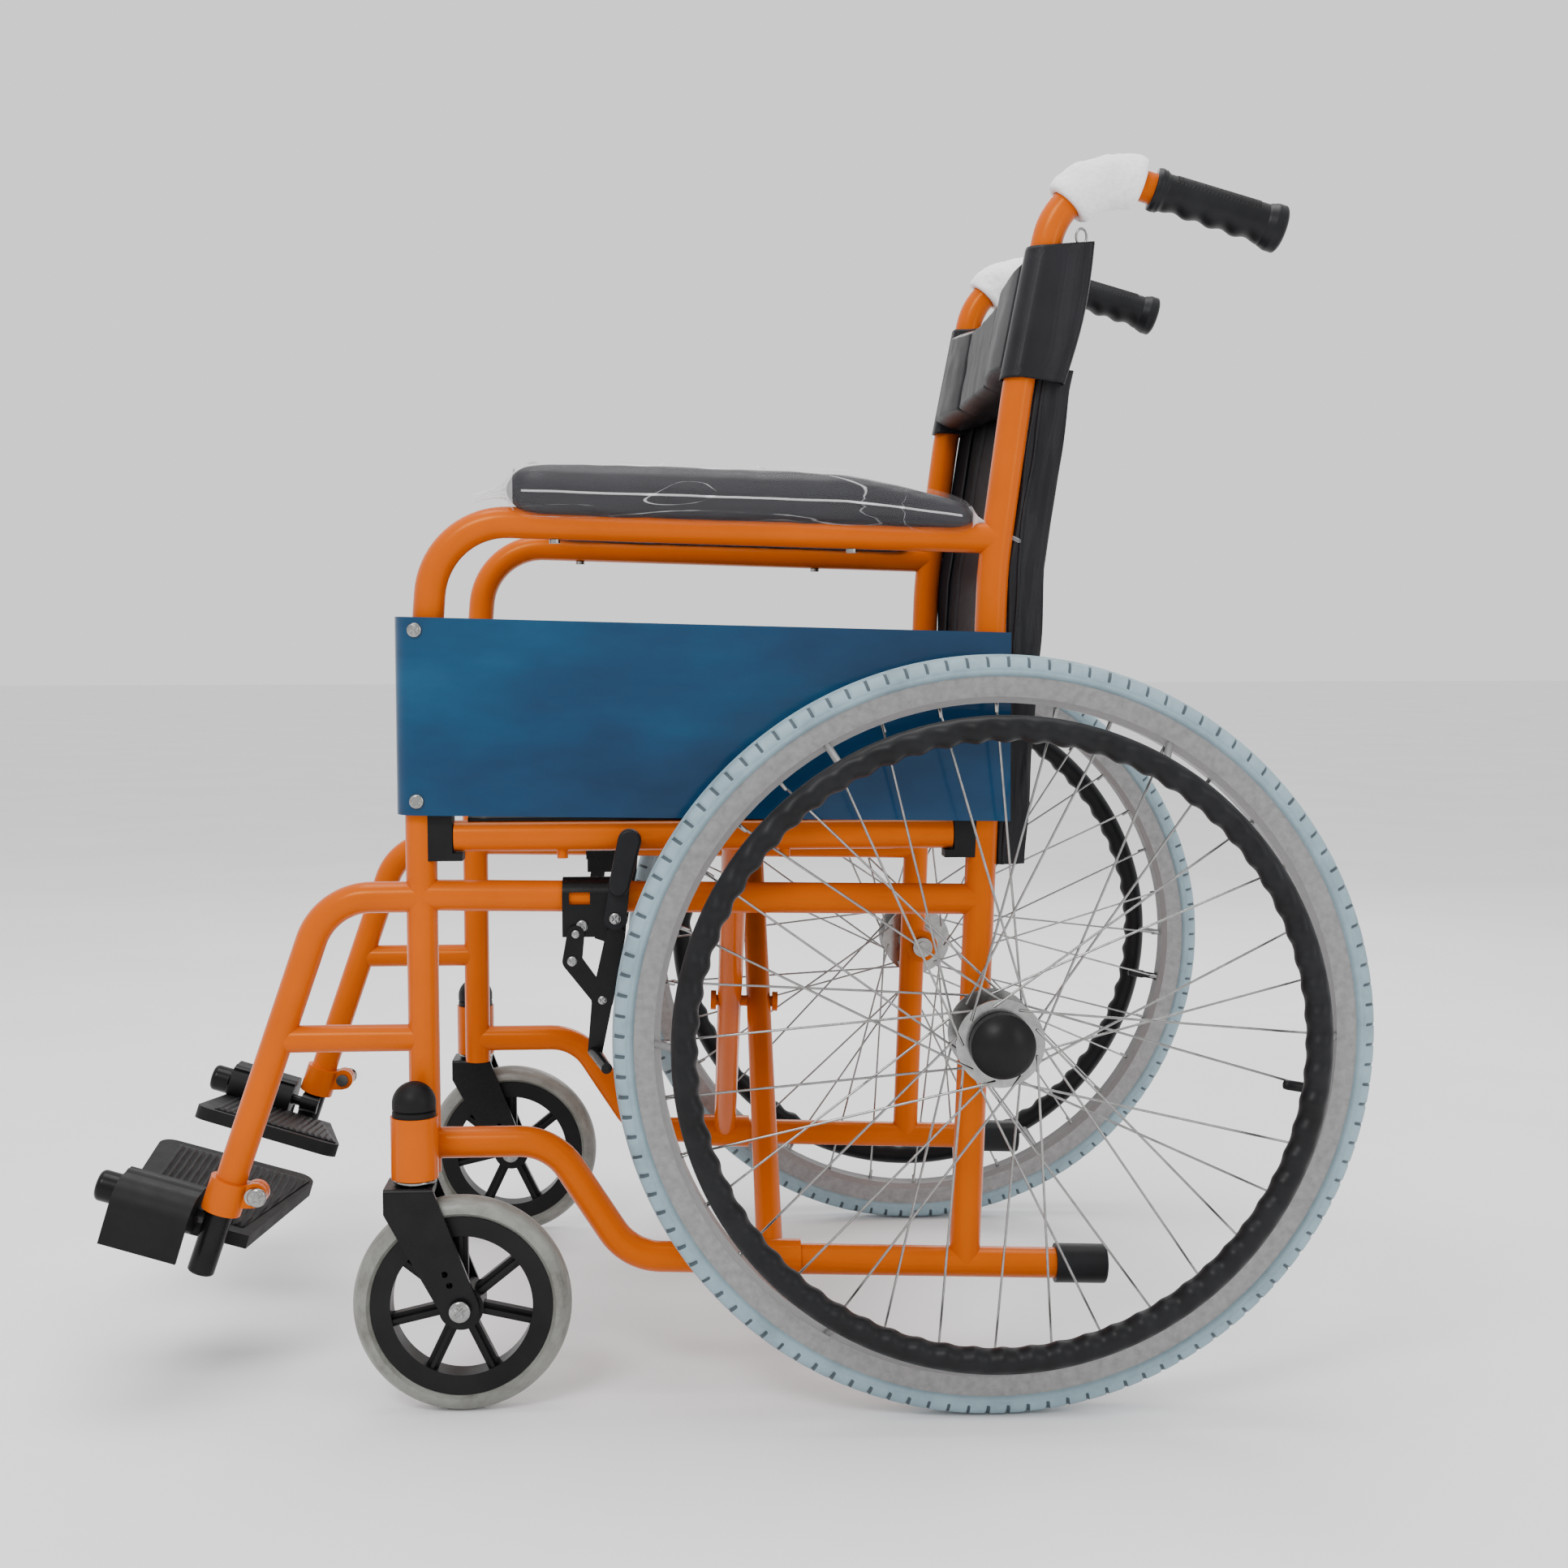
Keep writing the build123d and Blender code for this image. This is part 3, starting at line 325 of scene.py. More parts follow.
def skirt_material():
    """Deep blue sheet under glossy protective film."""
    blue = (0.0022, 0.034, 0.088)
    shader = Shader("skirt_blue", blue, 0.15)
    cloud = shader.noise(5.5, 5, 0.55, shader.scaled((1, 1, 2.2)))
    stops = [(0.25, (0.001, 0.019, 0.055)), (0.5, blue), (0.8, (0.004, 0.062, 0.135))]
    shader.paint(shader.ramp(cloud, stops))
    shader.gloss(shader.noise(22, 6), 0.06, 0.2)
    shader.set(Specular_IOR_Level=0.3)
    ripples = shader.noise(11, 4, 0.5, shader.scaled((0.5, 1, 2.2)))
    shader.bump(ripples, 0.0022, 0.35)
    return shader.material


def vinyl_material():
    black = (0.007, 0.007, 0.010)
    shader = Shader("pad_vinyl", black, 0.45)
    shader.paint(shader.ramp(shader.noise(20, 5), shades(black, 0.8, 1.5)))
    grain = shader.noise(60, 3)
    shader.gloss(shader.noise(120, 5), 0.35, 0.55)
    shader.set(Specular_IOR_Level=0.2)
    shader.bump(grain, 0.0005, 0.4)
    return shader.material


def upholstery_material():
    black = (0.0085, 0.0085, 0.0105)
    shader = Shader("upholstery_nylon", black, 0.55)
    weave = shader.maths("ADD", shader.waves(420, "Y", 0.3), shader.waves(420, "Z", 0.3))
    shader.paint(shader.ramp(shader.noise(14, 6), shades(black, 0.7, 1.55)))
    shader.gloss(shader.noise(30, 5), 0.3, 0.48)
    shader.set(Specular_IOR_Level=0.2)
    shader.bump(weave, 0.00018, 0.4)
    return shader.material


def foam_material():
    shader = Shader("white_foam", (0.9, 0.9, 0.91), 0.9)
    pores = shader.noise(330, 6, 0.7)
    shader.paint(shader.ramp(pores, [(0.3, (0.78, 0.78, 0.8)), (0.6, (0.93, 0.93, 0.94))]))
    shader.set(Subsurface_Weight=0.15, Subsurface_Radius=(0.004, 0.004, 0.004))
    shader.bump(pores, 0.0008, 0.6)
    return shader.material


def film_material(name, clear, crease_glint_alpha, width):
    """Thin clear wrapping film: mostly seen through, with thin pale glints along its creases
    painted in as more opaque whitish lines.
    """
    shader = Shader(name, (0.9, 0.9, 0.92), 0.08)
    broad = shader.noise(13, 1, 0.5, shader.scaled((0.3, 1, 1.5)))
    fine = shader.noise(26, 0, 0.5, shader.scaled((0.45, 1, 1.3)))
    ridge = shader.maths("ABSOLUTE", shader.maths("SUBTRACT", broad, 0.53))
    crease = shader.maths("ABSOLUTE", shader.maths("SUBTRACT", fine, 0.42))
    lines = shader.maths("MINIMUM", ridge, shader.maths("MULTIPLY", crease, 1.1))
    patches = shader.maths("MULTIPLY", shader.noise(24, 2), 0.016)
    lines = shader.maths("ADD", lines, patches)
    # Below this edge the crease lines turn the film opaque and whitish: painted glints along the
    # creases.
    crease_glint_edge = 0.0065
    node = shader.nodes.new("ShaderNodeMapRange")
    node.inputs["From Min"].default_value = crease_glint_edge
    node.inputs["From Max"].default_value = crease_glint_edge + width
    node.inputs["To Min"].default_value = crease_glint_alpha
    node.inputs["To Max"].default_value = clear
    shader.links.new(lines, node.inputs["Value"])
    shader.links.new(node.outputs["Result"], shader.bsdf.inputs["Alpha"])
    shader.set(Specular_IOR_Level=0.7)
    shader.bump(shader.maths("ADD", ridge, crease), 0.004, 0.5)
    shader.material.surface_render_method = "BLENDED"
    return shader.material


# ------------------------------------------------------------------ mesh helpers
def new_object(name, points, faces, material):
    mesh = bpy.data.meshes.new(name)
    mesh.from_pydata([tuple(p) for p in points], [], faces)
    mesh.update()
    mesh.polygons.foreach_set("use_smooth", [True] * len(mesh.polygons))
    piece = bpy.data.objects.new(name, mesh)
    bpy.context.scene.collection.objects.link(piece)
    piece.data.materials.append(material)
    return piece


def fix_normals(piece):
    work = bmesh.new()
    work.from_mesh(piece.data)
    bmesh.ops.remove_doubles(work, verts=work.verts, dist=1e-6)
    bmesh.ops.recalc_face_normals(work, faces=work.faces)
    work.to_mesh(piece.data)
    work.free()
    return piece


def grid_faces(rows, columns, wrap_rows=False, wrap_columns=False):
    """Quads over a rows x columns lattice of points."""
    faces = []
    for i in range(rows if wrap_rows else rows - 1):
        for j in range(columns if wrap_columns else columns - 1):
            a, b = i * columns + j, i * columns + (j + 1) % columns
            c, d = ((i + 1) % rows) * columns + (j + 1) % columns, ((i + 1) % rows) * columns + j
            faces.append((a, b, c, d))
    return faces


def loop_shell(name, rings, material, caps=True, closed=False):
    """A skin over a row of equal rings of points, with flat or pinched ends."""
    count = len(rings[0])
    points = [p for one in rings for p in one]
    faces = grid_faces(len(rings), count, wrap_rows=closed, wrap_columns=True)
    if caps and not closed:
        faces.append(tuple(range(count)))
        faces.append(tuple(reversed(range((len(rings) - 1) * count, len(rings) * count))))
    return fix_normals(new_object(name, points, faces, material))


def ring_about(centre, first, second, radius, count, shape=None):
    """Points round a centre in the plane of two unit vectors; shape(angle) scales the radius."""
    out = []
    for k in range(count):
        angle = 2 * pi * k / count
        reach = radius * (shape(angle) if shape else 1)
        away = Vector(first) * cos(angle) + Vector(second) * sin(angle)
        out.append(Vector(centre) + away * reach)
    return out


def lathe(name, centre, axis, profile, material, steps=48):
    """Body turned about an axis through centre from (along, radius) pairs."""
    axis = Vector(axis).normalized()
    first = axis.orthogonal().normalized()
    second = axis.cross(first)
    rings = []
    for along, radius in profile:
        rings.append(ring_about(Vector(centre) + axis * along, first, second, radius, steps))
    return loop_shell(name, rings, material)


def solidify(piece, thickness, offset=0.0):
    modifier = piece.modifiers.new("thickness", "SOLIDIFY")
    modifier.thickness = thickness
    modifier.offset = offset
    bake(piece)
    return piece


def bake(piece):
    """Applies a piece's modifiers to its mesh."""
    bpy.context.view_layer.update()
    evaluated = piece.evaluated_get(bpy.context.evaluated_depsgraph_get())
    mesh = bpy.data.meshes.new_from_object(evaluated)
    old = piece.data
    piece.modifiers.clear()
    piece.data = mesh
    bpy.data.meshes.remove(old)
    mesh.polygons.foreach_set("use_smooth", [True] * len(mesh.polygons))
    return piece


def subdivide(piece):
    modifier = piece.modifiers.new("subdivision", "SUBSURF")
    modifier.levels = 1
    modifier.render_levels = 1
    return bake(piece)


def mirrored(piece, name):
    """Mirror image of a finished piece across the chair's middle plane."""
    mesh = piece.data.copy()
    mesh.transform(Matrix.Scale(-1, 4, (0, 1, 0)))
    mesh.flip_normals()
    twin = bpy.data.objects.new(name, mesh)
    bpy.context.scene.collection.objects.link(twin)
    return twin


def settle(piece, body, slot, *nodes):
    """Rides and hides the CAD nodes that a piece stands for; the slot is not used."""
    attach(piece, body)
    if nodes:
        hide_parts(*nodes)
    return piece


def both_sides(make, name, body, slot, *nodes):
    """Makes the left piece, mirrors it, and settles both on their bodies."""
    left = make(f"{name}_left")
    right = mirrored(left, f"{name}_right")
    for side, piece in (("left", left), ("right", right)):
        settle(piece, f"{body}_{side}", slot, *[f"{node}_{side}" for node in nodes])
    return left, right


def wobble(point, scale, seed=0.0):
    return noise.noise(Vector(point) * scale + Vector((seed, seed * 1.7, -seed)))


# ------------------------------------------------------------------ rear tyre with tread blocks
WHEEL_Y = AXLE.y
TREAD_BLOCKS = 116
TYRE_STEPS = TREAD_BLOCKS * 12
SIPE_SHARE = 0.16
SIPE_INNER_R = 0.2955
SIPE_INNER_Y = 0.0078
SPOKES = 36


def notch(turn, shift):
    """1 inside a sipe and 0 on a tread block, at an angle round the wheel."""
    phase = (turn * TREAD_BLOCKS / (2 * pi) + shift) % 1.0
    return 1.0 if phase < SIPE_SHARE else 0.0


def tyre_section(turn):
    """(across, radius) pairs of the tyre at an angle, with sipes cut into the two shoulders."""
    near = notch(turn, 0.0)
    far = notch(turn, 0.5)
    wall = [
        (-14.2, 288.2), (-15.6, 288.6), (-16.8, 290.6),
        (-17.0, 292.2), (-16.6, 292.9), (-16.9, 293.6),
    ]
    section = [(a * MM, r * MM) for a, r in wall]
    shoulder = [
        (-16.7, 295.4, 0.5), (-16.0, 297.6, 1), (-15.0, 299.6, 1), (-13.4, 301.4, 1),
        (-11.2, 302.9, 1), (-8.2, 303.8, 0.6), (-7.4, 303.2, 0), (-6.6, 304.0, 0),
        (-4.8, 304.5, 0), (-4.0, 303.4, 0), (-3.2, 303.4, 0), (-2.4, 304.8, 0),
    ]
    for a, r, cut in shoulder:
        section.append(((a + near * cut * 1.1) * MM, (r - near * cut * 1.3) * MM))
    section.append((0, 0.305))
    for a, r, cut in reversed(shoulder):
        section.append(((-a - far * cut * 1.1) * MM, (r - far * cut * 1.3) * MM))
    section += [(-a * MM, r * MM) for a, r in reversed(wall)]
    section += [(10.8 * MM, 282.2 * MM), (-10.8 * MM, 282.2 * MM)]
    return section


def make_tyre(name):
    """Grey tyre whose shoulder sipes carry a darker material: painted shade in the grooves."""
    rings = []
    hub = Vector((AXLE_X, WHEEL_Y, AXLE.z))
    for k in range(TYRE_STEPS):
        turn = 2 * pi * k / TYRE_STEPS
        out = Vector((sin(turn), 0, cos(turn)))
        rings.append([hub + Vector((0, a, 0)) + out * r for a, r in tyre_section(turn)])
    tyre = loop_shell(name, rings, TYRE, closed=True)
    # The sipe faces get a darker grey, which is painted shade in the grooves.
    tyre.data.materials.append(TYRE_SIPE_SHADE)
    for face in tyre.data.polygons:
        spot = face.center - hub
        turn = atan2(spot.x, spot.z) % (2 * pi)
        in_sipe = notch(turn, 0.0 if spot.y < 0 else 0.5) > 0
        outward = Vector((spot.x, 0, spot.z)).length > SIPE_INNER_R
        if in_sipe and outward and abs(spot.y) > SIPE_INNER_Y:
            face.material_index = 1
    return tyre


def make_hand_rim(name):
    """Hand rim with finger waves along its inner side."""
    steps, around, waves = 816, 20, 68
    low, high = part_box("hand_rim_left")
    tube = (high.y - low.y) / 2
    middle_y = (high.y + low.y) / 2
    mean_r = (high.x - low.x) / 2 - tube
    rings = []
    for k in range(steps):
        turn = 2 * pi * k / steps
        out = Vector((sin(turn), 0, cos(turn)))
        wave = 0.5 + 0.5 * cos(turn * waves)
        centre = Vector((AXLE_X, middle_y, AXLE.z)) + out * mean_r
        rings.append(
            ring_about(
                centre, out, Vector((0, 1, 0)), tube, around,
                lambda a: 1 - 0.30 * (1 - wave) * max(0.0, cos(a - 2.35)) ** 0.8,
            )
        )
    return loop_shell(name, rings, RUBBER, closed=True)


def make_valve(name):
    """Stem with its cap, pointing from the rim to the axle."""
    turn = radians(-100)
    out = Vector((sin(turn), 0, cos(turn)))
    start = Vector((AXLE_X, WHEEL_Y, AXLE.z)) + out * 0.2705
    profile = [
        (0, 0.0042), (0.004, 0.0042), (0.006, 0.0034), (0.016, 0.0033),
        (0.018, 0.0042), (0.03, 0.0042), (0.033, 0.0036), (0.034, 0.001),
    ]
    return lathe(name, start, -out, profile, RUBBER, 20)


def make_nipples(name):
    """Spoke nipples at the rim, one small body each."""
    points, faces = [], []
    profile = [
        (0.2715, 0.0024), (0.268, 0.0024), (0.2665, 0.0019), (0.2595, 0.0017), (0.2588, 0.001),
    ]
    for k in range(SPOKES):
        turn = 2 * pi * k / SPOKES
        out = Vector((sin(turn), 0, cos(turn)))
        side = Vector((0, 1, 0))
        across = out.cross(side)
        centre = Vector((AXLE_X, WHEEL_Y + (4 if k % 2 else -4) * MM, AXLE.z))
        base = len(points)
        for radius, thick in profile:
            points += ring_about(centre + out * radius, side, across, thick, 8)
        faces += [tuple(base + i for i in face) for face in grid_faces(5, 8, wrap_columns=True)]
        faces.append(tuple(base + i for i in range(8)))
        faces.append(tuple(base + 32 + i for i in reversed(range(8))))
    return fix_normals(new_object(name, points, faces, STEEL))


# ------------------------------------------------------------------ push handle grip
HANDLE_CORNER = Vector((fore(-61), FRAME_Y, 1.007))
HANDLE_END = Vector((fore(-236), FRAME_Y, 0.954))


def make_grip(name):
    """Moulded grip with finger scallops below and a knurled patch on top."""
    run = (HANDLE_END - HANDLE_CORNER).normalized()
    tip = HANDLE_END + run * 0.005
    side = Vector((0, 1, 0))
    up = run.cross(side)
    if up.z < 0:
        up = -up
    length = 0.111
    stations = 150
    rings = []
    for k in range(stations + 1):
        s = k / stations * length
        base = 0.0152 + 0.0018 * s / length
        if s < 0.006:
            base = 0.0178 - 0.0006 * abs(s - 0.003) / 0.003
        elif s < 0.010:
            base += 0.0025 * (0.010 - s) / 0.004
        if s > length - 0.016:
            t = (s - length + 0.016) / 0.016
            base = 0.0172 + 0.0022 * min(1, t * 2.5)
            if t > 0.8:
                base -= 0.004 * ((t - 0.8) / 0.2) ** 2
        scallop = 0.0
        if 0.012 < s < length - 0.018:
            scallop = 0.5 - 0.5 * cos(2 * pi * (s - 0.012) / 0.0205)
        patch = 1.0 if 0.016 < s < length - 0.024 else 0.0
        centre = tip - run * (length - s)

        def shape(angle, base=base, scallop=scallop, patch=patch, s=s):
            below = max(0.0, -sin(angle)) ** 1.5
            above = max(0.0, sin(angle))
            knurl = 0.0
            if patch and above > 0.45:
                knurl = 0.0004 * (1 if (int(s / 0.0016) + int(angle / 0.09)) % 2 else -1)
            return (base - 0.0026 * scallop * below + knurl) / 0.01

        rings.append(ring_about(centre, side, up, 0.01, 72, shape))
    rings.append(ring_about(tip, side, up, 0.006, 72))
    return loop_shell(name, rings, RUBBER)


# ------------------------------------------------------------------ white foam wraps
def make_foam(name):
    """Lumpy foam wrap round the handle's bend."""
    bend_r = 0.060
    incoming = Vector((-36, 0, 183)).normalized()
    outgoing = (HANDLE_END - HANDLE_CORNER).normalized()
    half_turn = incoming.angle(outgoing) / 2
    tangent = bend_r * tan(half_turn)
    start = HANDLE_CORNER - incoming * tangent
    inward = (outgoing - incoming * outgoing.dot(incoming)).normalized()
    centre = start + inward * bend_r
    stations = 72
    side = Vector((0, 1, 0))
    rings, inner = [], []
    sweep = 2 * half_turn
    for k in range(stations + 1):
        t = k / stations
        angle = sweep * (0.34 + 0.66 * t)
        outward = -inward * cos(angle) + incoming * sin(angle)
        spot = centre + outward * bend_r
        flare = 1.0 + 0.06 * abs(2 * t - 1) ** 2 - 0.16 * abs(2 * t - 1) ** 14
        rings.append(
            ring_about(
                spot, outward, side, 0.0208 * flare, 64,
                lambda a, spot=spot, outward=outward: 1
                + 0.10 * wobble(spot + (outward * cos(a) + side * sin(a)) * 0.02, 55, 3)
                + 0.035 * wobble(spot + (outward * cos(a) + side * sin(a)) * 0.02, 190, 5),
            )
        )
        inner.append(ring_about(spot, outward, side, TUBE_R + 0.0006, 64))
    return loop_shell(name, rings + inner[::-1], FOAM, closed=True)


# ------------------------------------------------------------------ arm pad and its clear film
ARM_FRONT = Vector((fore(404), FRAME_Y, 0.7165))
ARM_REAR = Vector((fore(23), FRAME_Y, 0.7045))
PAD_SQUARENESS = 3.2


def arm_axis(x):
    """Height of the arm tube's middle at an x."""
    t = (x - ARM_REAR.x) / (ARM_FRONT.x - ARM_REAR.x)
    return ARM_REAR.z + (ARM_FRONT.z - ARM_REAR.z) * t


def pad_section(t, grow=0.0):
    """Half width, bottom and top of the pad at 0 (rear) to 1 (front)."""
    x = fore(10 + 378 * t)
    rear = min(1.0, t / 0.28)
    top = arm_axis(x) + (0.026 + 0.023 * rear ** 0.8) + grow
    bottom = arm_axis(x) + 0.004 - grow
    half = 0.0255 + grow
    return x, half, bottom, top


def pad_ring(t, grow, ends, count=56):
    """Section of the pad at 0 (rear) to 1 (front), drawn in towards its ends if asked."""
    x, half, bottom, top = pad_section(t, grow)
    squeeze = 1.0
    if ends:
        reach = min(1.0, t / 0.05, (1 - t) / 0.085)
        squeeze = 0.3 + 0.7 * sqrt(max(0.0, 1 - (1 - reach) ** 2))
    middle = (top + bottom) / 2
    rise = (top - bottom) / 2
    ring = []
    for k in range(count):
        a = 2 * pi * k / count
        c, s = cos(a), sin(a)
        fold = (abs(c) ** PAD_SQUARENESS + abs(s) ** PAD_SQUARENESS) ** (-1 / PAD_SQUARENESS)
        y = FRAME_Y + half * squeeze * c * fold
        ring.append(Vector((x, y, middle + rise * squeeze * s * fold)))
    return ring


def pump(piece, pressure, cap):
    """Swells a closed form with a short cloth simulation and caps how far each point moves."""
    rest = np.array([v.co for v in piece.data.vertices])
    cloth = piece.modifiers.new("cloth", "CLOTH")
    cloth.settings.use_pressure = True
    cloth.settings.uniform_pressure_force = pressure
    cloth.settings.effector_weights.gravity = 0
    cloth.settings.quality = 6
    scene = bpy.context.scene
    for step in range(1, 21):
        scene.frame_set(step)
    bpy.context.view_layer.update()
    evaluated = piece.evaluated_get(bpy.context.evaluated_depsgraph_get())
    moved = np.array([v.co for v in evaluated.data.vertices])
    piece.modifiers.clear()
    scene.frame_set(1)
    shift = moved - rest
    length = np.linalg.norm(shift, axis=1, keepdims=True)
    shift *= np.minimum(1.0, cap / np.maximum(length, 1e-9))
    for vertex, place in zip(piece.data.vertices, rest + shift):
        vertex.co = place
    piece.data.update()
    return piece


def make_arm_pad(name):
    """Stuffed pad, swollen by the cloth simulation and grooved to sit on the arm tube."""
    stations = 40
    rings = [pad_ring(k / stations, -0.002, True) for k in range(stations + 1)]
    pad = loop_shell(name, rings, VINYL)
    remesh = pad.modifiers.new("remesh", "REMESH")
    remesh.mode = "VOXEL"
    remesh.voxel_size = 0.005
    bake(pad)
    pump(pad, 4.0, 0.004)
    groove = TUBE_R + 0.0006
    for vertex in pad.data.vertices:
        away = Vector((0, vertex.co.y - FRAME_Y, vertex.co.z - arm_axis(vertex.co.x)))
        if away.length < groove:
            vertex.co += away.normalized() * (groove - away.length)
    subdivide(pad)
    for vertex in pad.data.vertices:
        vertex.co.z += 0.0006 * wobble(vertex.co, 45, 9)
    return pad


def make_pad_seam_glint(name):
    """Pale bead along the pad's side seam where the film catches the light: the seam is real, its
    whitish line a painted highlight.
    """
    rings = []
    stations = 120
    for k in range(stations + 1):
        t = 0.035 + 0.93 * k / stations
        x, half, bottom, top = pad_section(t)
        height = bottom + (top - bottom) * 0.46 + 0.0008 * wobble((x, 0, 0), 30, 2)
        squeeze = 1 - 0.22 * max(0.0, 1 - min(t / 0.06, (1 - t) / 0.1)) ** 2
        spot = Vector((x, FRAME_Y + half * squeeze + 0.0014, height))
        rings.append(ring_about(spot, (0, 1, 0), (0, 0, 1), 0.0009, 8))
    # The bead takes the whitish gathered film material, a painted highlight along the seam.
    return loop_shell(name, rings, FILM_GATHER_AND_GLINT)


def make_film(name):
    """Crinkled clear film round the pad, gathered beyond both ends."""
    stations, count = 150, 96
    rings = []
    for k in range(stations + 1):
        t = -0.10 + 1.17 * k / stations
        inside = min(1.0, max(0.0, t))
        base = pad_ring(inside, 0.0016, True, count)
        _, _, bottom, top = pad_section(inside, 0.0016)
        beyond = max(0.0, -t, t - 1.0)
        pull = 1.0
        if beyond > 0:
            pull = 0.30 + 0.70 * exp(-beyond / 0.02) + 1.9 * max(0.0, beyond - 0.035)
        x_far = fore(10 + 378 * t)
        drop = 0.1 * beyond * (1 if t > 1 else 1.8)
        heart = Vector((x_far, FRAME_Y, (top + bottom) / 2 - drop))
        ring = []
        for j, point in enumerate(base):
            angle = 2 * pi * j / count
            offset = point - Vector((point.x, FRAME_Y, (top + bottom) / 2))
            crease = abs(wobble((x_far * 2.2, cos(angle), sin(angle)), 4.5, 11))
            fine = wobble((x_far * 30, cos(angle) * 5, sin(angle) * 5), 1.0, 4)
            pleat = 0.25 * sin(angle * 17 + 5 * wobble((x_far, 0, 0), 20)) * min(1, beyond / 0.01)
            grow = 1 + 0.10 * crease * (1 - 0.3 * beyond) + 0.035 * fine + pleat
            spot = heart + offset * pull * grow
            floor_z = arm_axis(min(max(x_far, ARM_REAR.x), ARM_FRONT.x)) + 0.002
            if 0 <= t <= 1 and spot.z < floor_z:
                spot.z = floor_z
            ring.append(spot)
        rings.append(ring)
    film = loop_shell(name, rings, FILM, caps=False)
    # The ends take the denser gathered film, which is more opaque where layers gather and also
    # carries painted glints as whitish crease lines.
    film.data.materials.append(FILM_GATHER_AND_GLINT)
    ends = (fore(10 + 378 * 0.006), fore(10 + 378 * 0.985))
    for face in film.data.polygons:
        if not ends[0] < face.center.x < ends[1]:
            face.material_index = 1
    return film


# ------------------------------------------------------------------ footplate tread
def make_tread(name):
    """Ribbed top of the left footplate, inside a smooth border."""
    hinge = pivot("footplate_flip_left")
    tilt = radians(17)
    ahead = Vector((cos(tilt), 0, sin(tilt)))
    roll = radians(8)
    level = Vector((-sin(tilt), 0, cos(tilt)))
    side = Vector((0, -cos(roll), 0)) + level * sin(roll)
    up = level * cos(roll) + Vector((0, sin(roll), 0))
    near, far = 0.018, 0.141
    base = -0.012
    rows, columns = 300, 30
    rings = []
    for i in range(rows + 1):
        u = i / rows
        row = []
        for j in range(columns + 1):
            across = near + (far - near) * j / columns
            rear = -0.018 - 0.0355 * (across - near) / (far - near) * 0.85
            front = 0.071
            place = rear + (front - rear) * u
            wave = 0.0007 * wobble((place, across, 0), 70, 8)
            rib = 0.5 + 0.5 * cos(2 * pi * (place + wave) / 0.0062)
            edge = min(u, 1 - u, j / columns, 1 - j / columns)
            height = 0.0019 * rib ** 0.6 * min(1.0, edge / 0.03)
            row.append(hinge + ahead * place + side * across + up * (base + 0.0002 + height))
        rings.append(row)
    points = [p for row in rings for p in row]
    tread = new_object(name, points, grid_faces(rows + 1, columns + 1), PLASTIC)
    return solidify(fix_normals(tread), 0.0012, -1)


# ------------------------------------------------------------------ upholstery
def post_x(z):
    """X of the back post's axis at a height."""
    stations = [(16, 103.5), (-5.5, 680), (-25, 824), (-61, 1007)]
    for (x0, z0), (x1, z1) in zip(stations, stations[1:]):
        if z / MM <= z1:
            return fore(x0 + (x1 - x0) * (z / MM - z0) / (z1 - z0))
    return fore(-61)


BAND_LOW = 0.834
BAND_HIGH = 0.937
BACK_LOW = 0.443
PANEL_HALF = 0.206
BAND_HALF = 0.2095
SEAM_Y = 0.086


def band_top(y):
    """Upper edge of the back band, dipping between the posts."""
    return BAND_HIGH - 0.016 * max(0.0, 1 - (abs(y) / BAND_HALF) ** 2)


def band_front(y, z):
    """Front face of the band: tight over the posts, pillowed between its seams."""
    inside = max(0.0, 1 - (y / BAND_HALF) ** 2)
    if abs(y) < SEAM_Y:
        pillow = 0.0045 * max(0.0, cos(pi * y / (2 * SEAM_Y))) ** 0.7
    else:
        pillow = 0.0060 * max(0.0, sin(pi * (abs(y) - SEAM_Y) / (BAND_HALF - SEAM_Y))) ** 0.8
    stitch = 0.0040 * exp(-((abs(y) - SEAM_Y) / 0.0026) ** 2)
    crumple = 0.0026 * wobble((0, y, z * 0.5), 16, 6) + 0.0010 * wobble((0, y, z), 45, 2)
    face = post_x(z) + 0.0152 - 0.008 * inside ** 2
    return face + pillow - stitch + crumple * min(1.0, inside * 3)


def band_depth(z):
    """How far the band's rear edge stands behind the post's axis."""
    t = (z - BAND_LOW) / (BAND_HIGH - BAND_LOW)
    return 0.034 + 0.003 * t + 0.004 * sin(pi * t)


def make_band_middle(name):
    """Padded headband between the posts, closed along its top and bottom edges."""
    rows, columns = 56, 130
    front, rear = [], []
    for i in range(rows + 1):
        v = i / rows
        puff = min(1.0, sin(pi * v) * 3.2) ** 0.5 if 0 < v < 1 else 0.0
        for j in range(columns + 1):
            y = BAND_HALF * (2 * j / columns - 1)
            z = BAND_LOW + (band_top(y) - BAND_LOW) * v
            face = band_front(y, z)
            inside = max(0.0, 1 - (y / BAND_HALF) ** 2)
            back = post_x(z) - band_depth(z) - 0.012 * inside + 0.003 * wobble((1, y, z), 22, 9)
            middle = post_x(z) - 0.012 - 0.014 * inside
            front.append(Vector((middle + (face - middle) * puff, y, z)))
            rear.append(Vector((middle - 0.0008 + (back - middle) * puff, y, z)))
    faces = grid_faces(rows + 1, columns + 1)
    count = len(front)
    both = faces + [tuple(count + k for k in reversed(face)) for face in faces]
    width = columns + 1
    for i in range(rows):
        for edge in (0, columns):
            a, b = i * width + edge, (i + 1) * width + edge
            both.append((a, b, count + b, count + a))
    for j in range(columns):
        for edge in (0, rows):
            a, b = edge * width + j, edge * width + j + 1
            both.append((a, b, count + b, count + a))
    return fix_normals(new_object(name, front + rear, both, UPHOLSTERY))


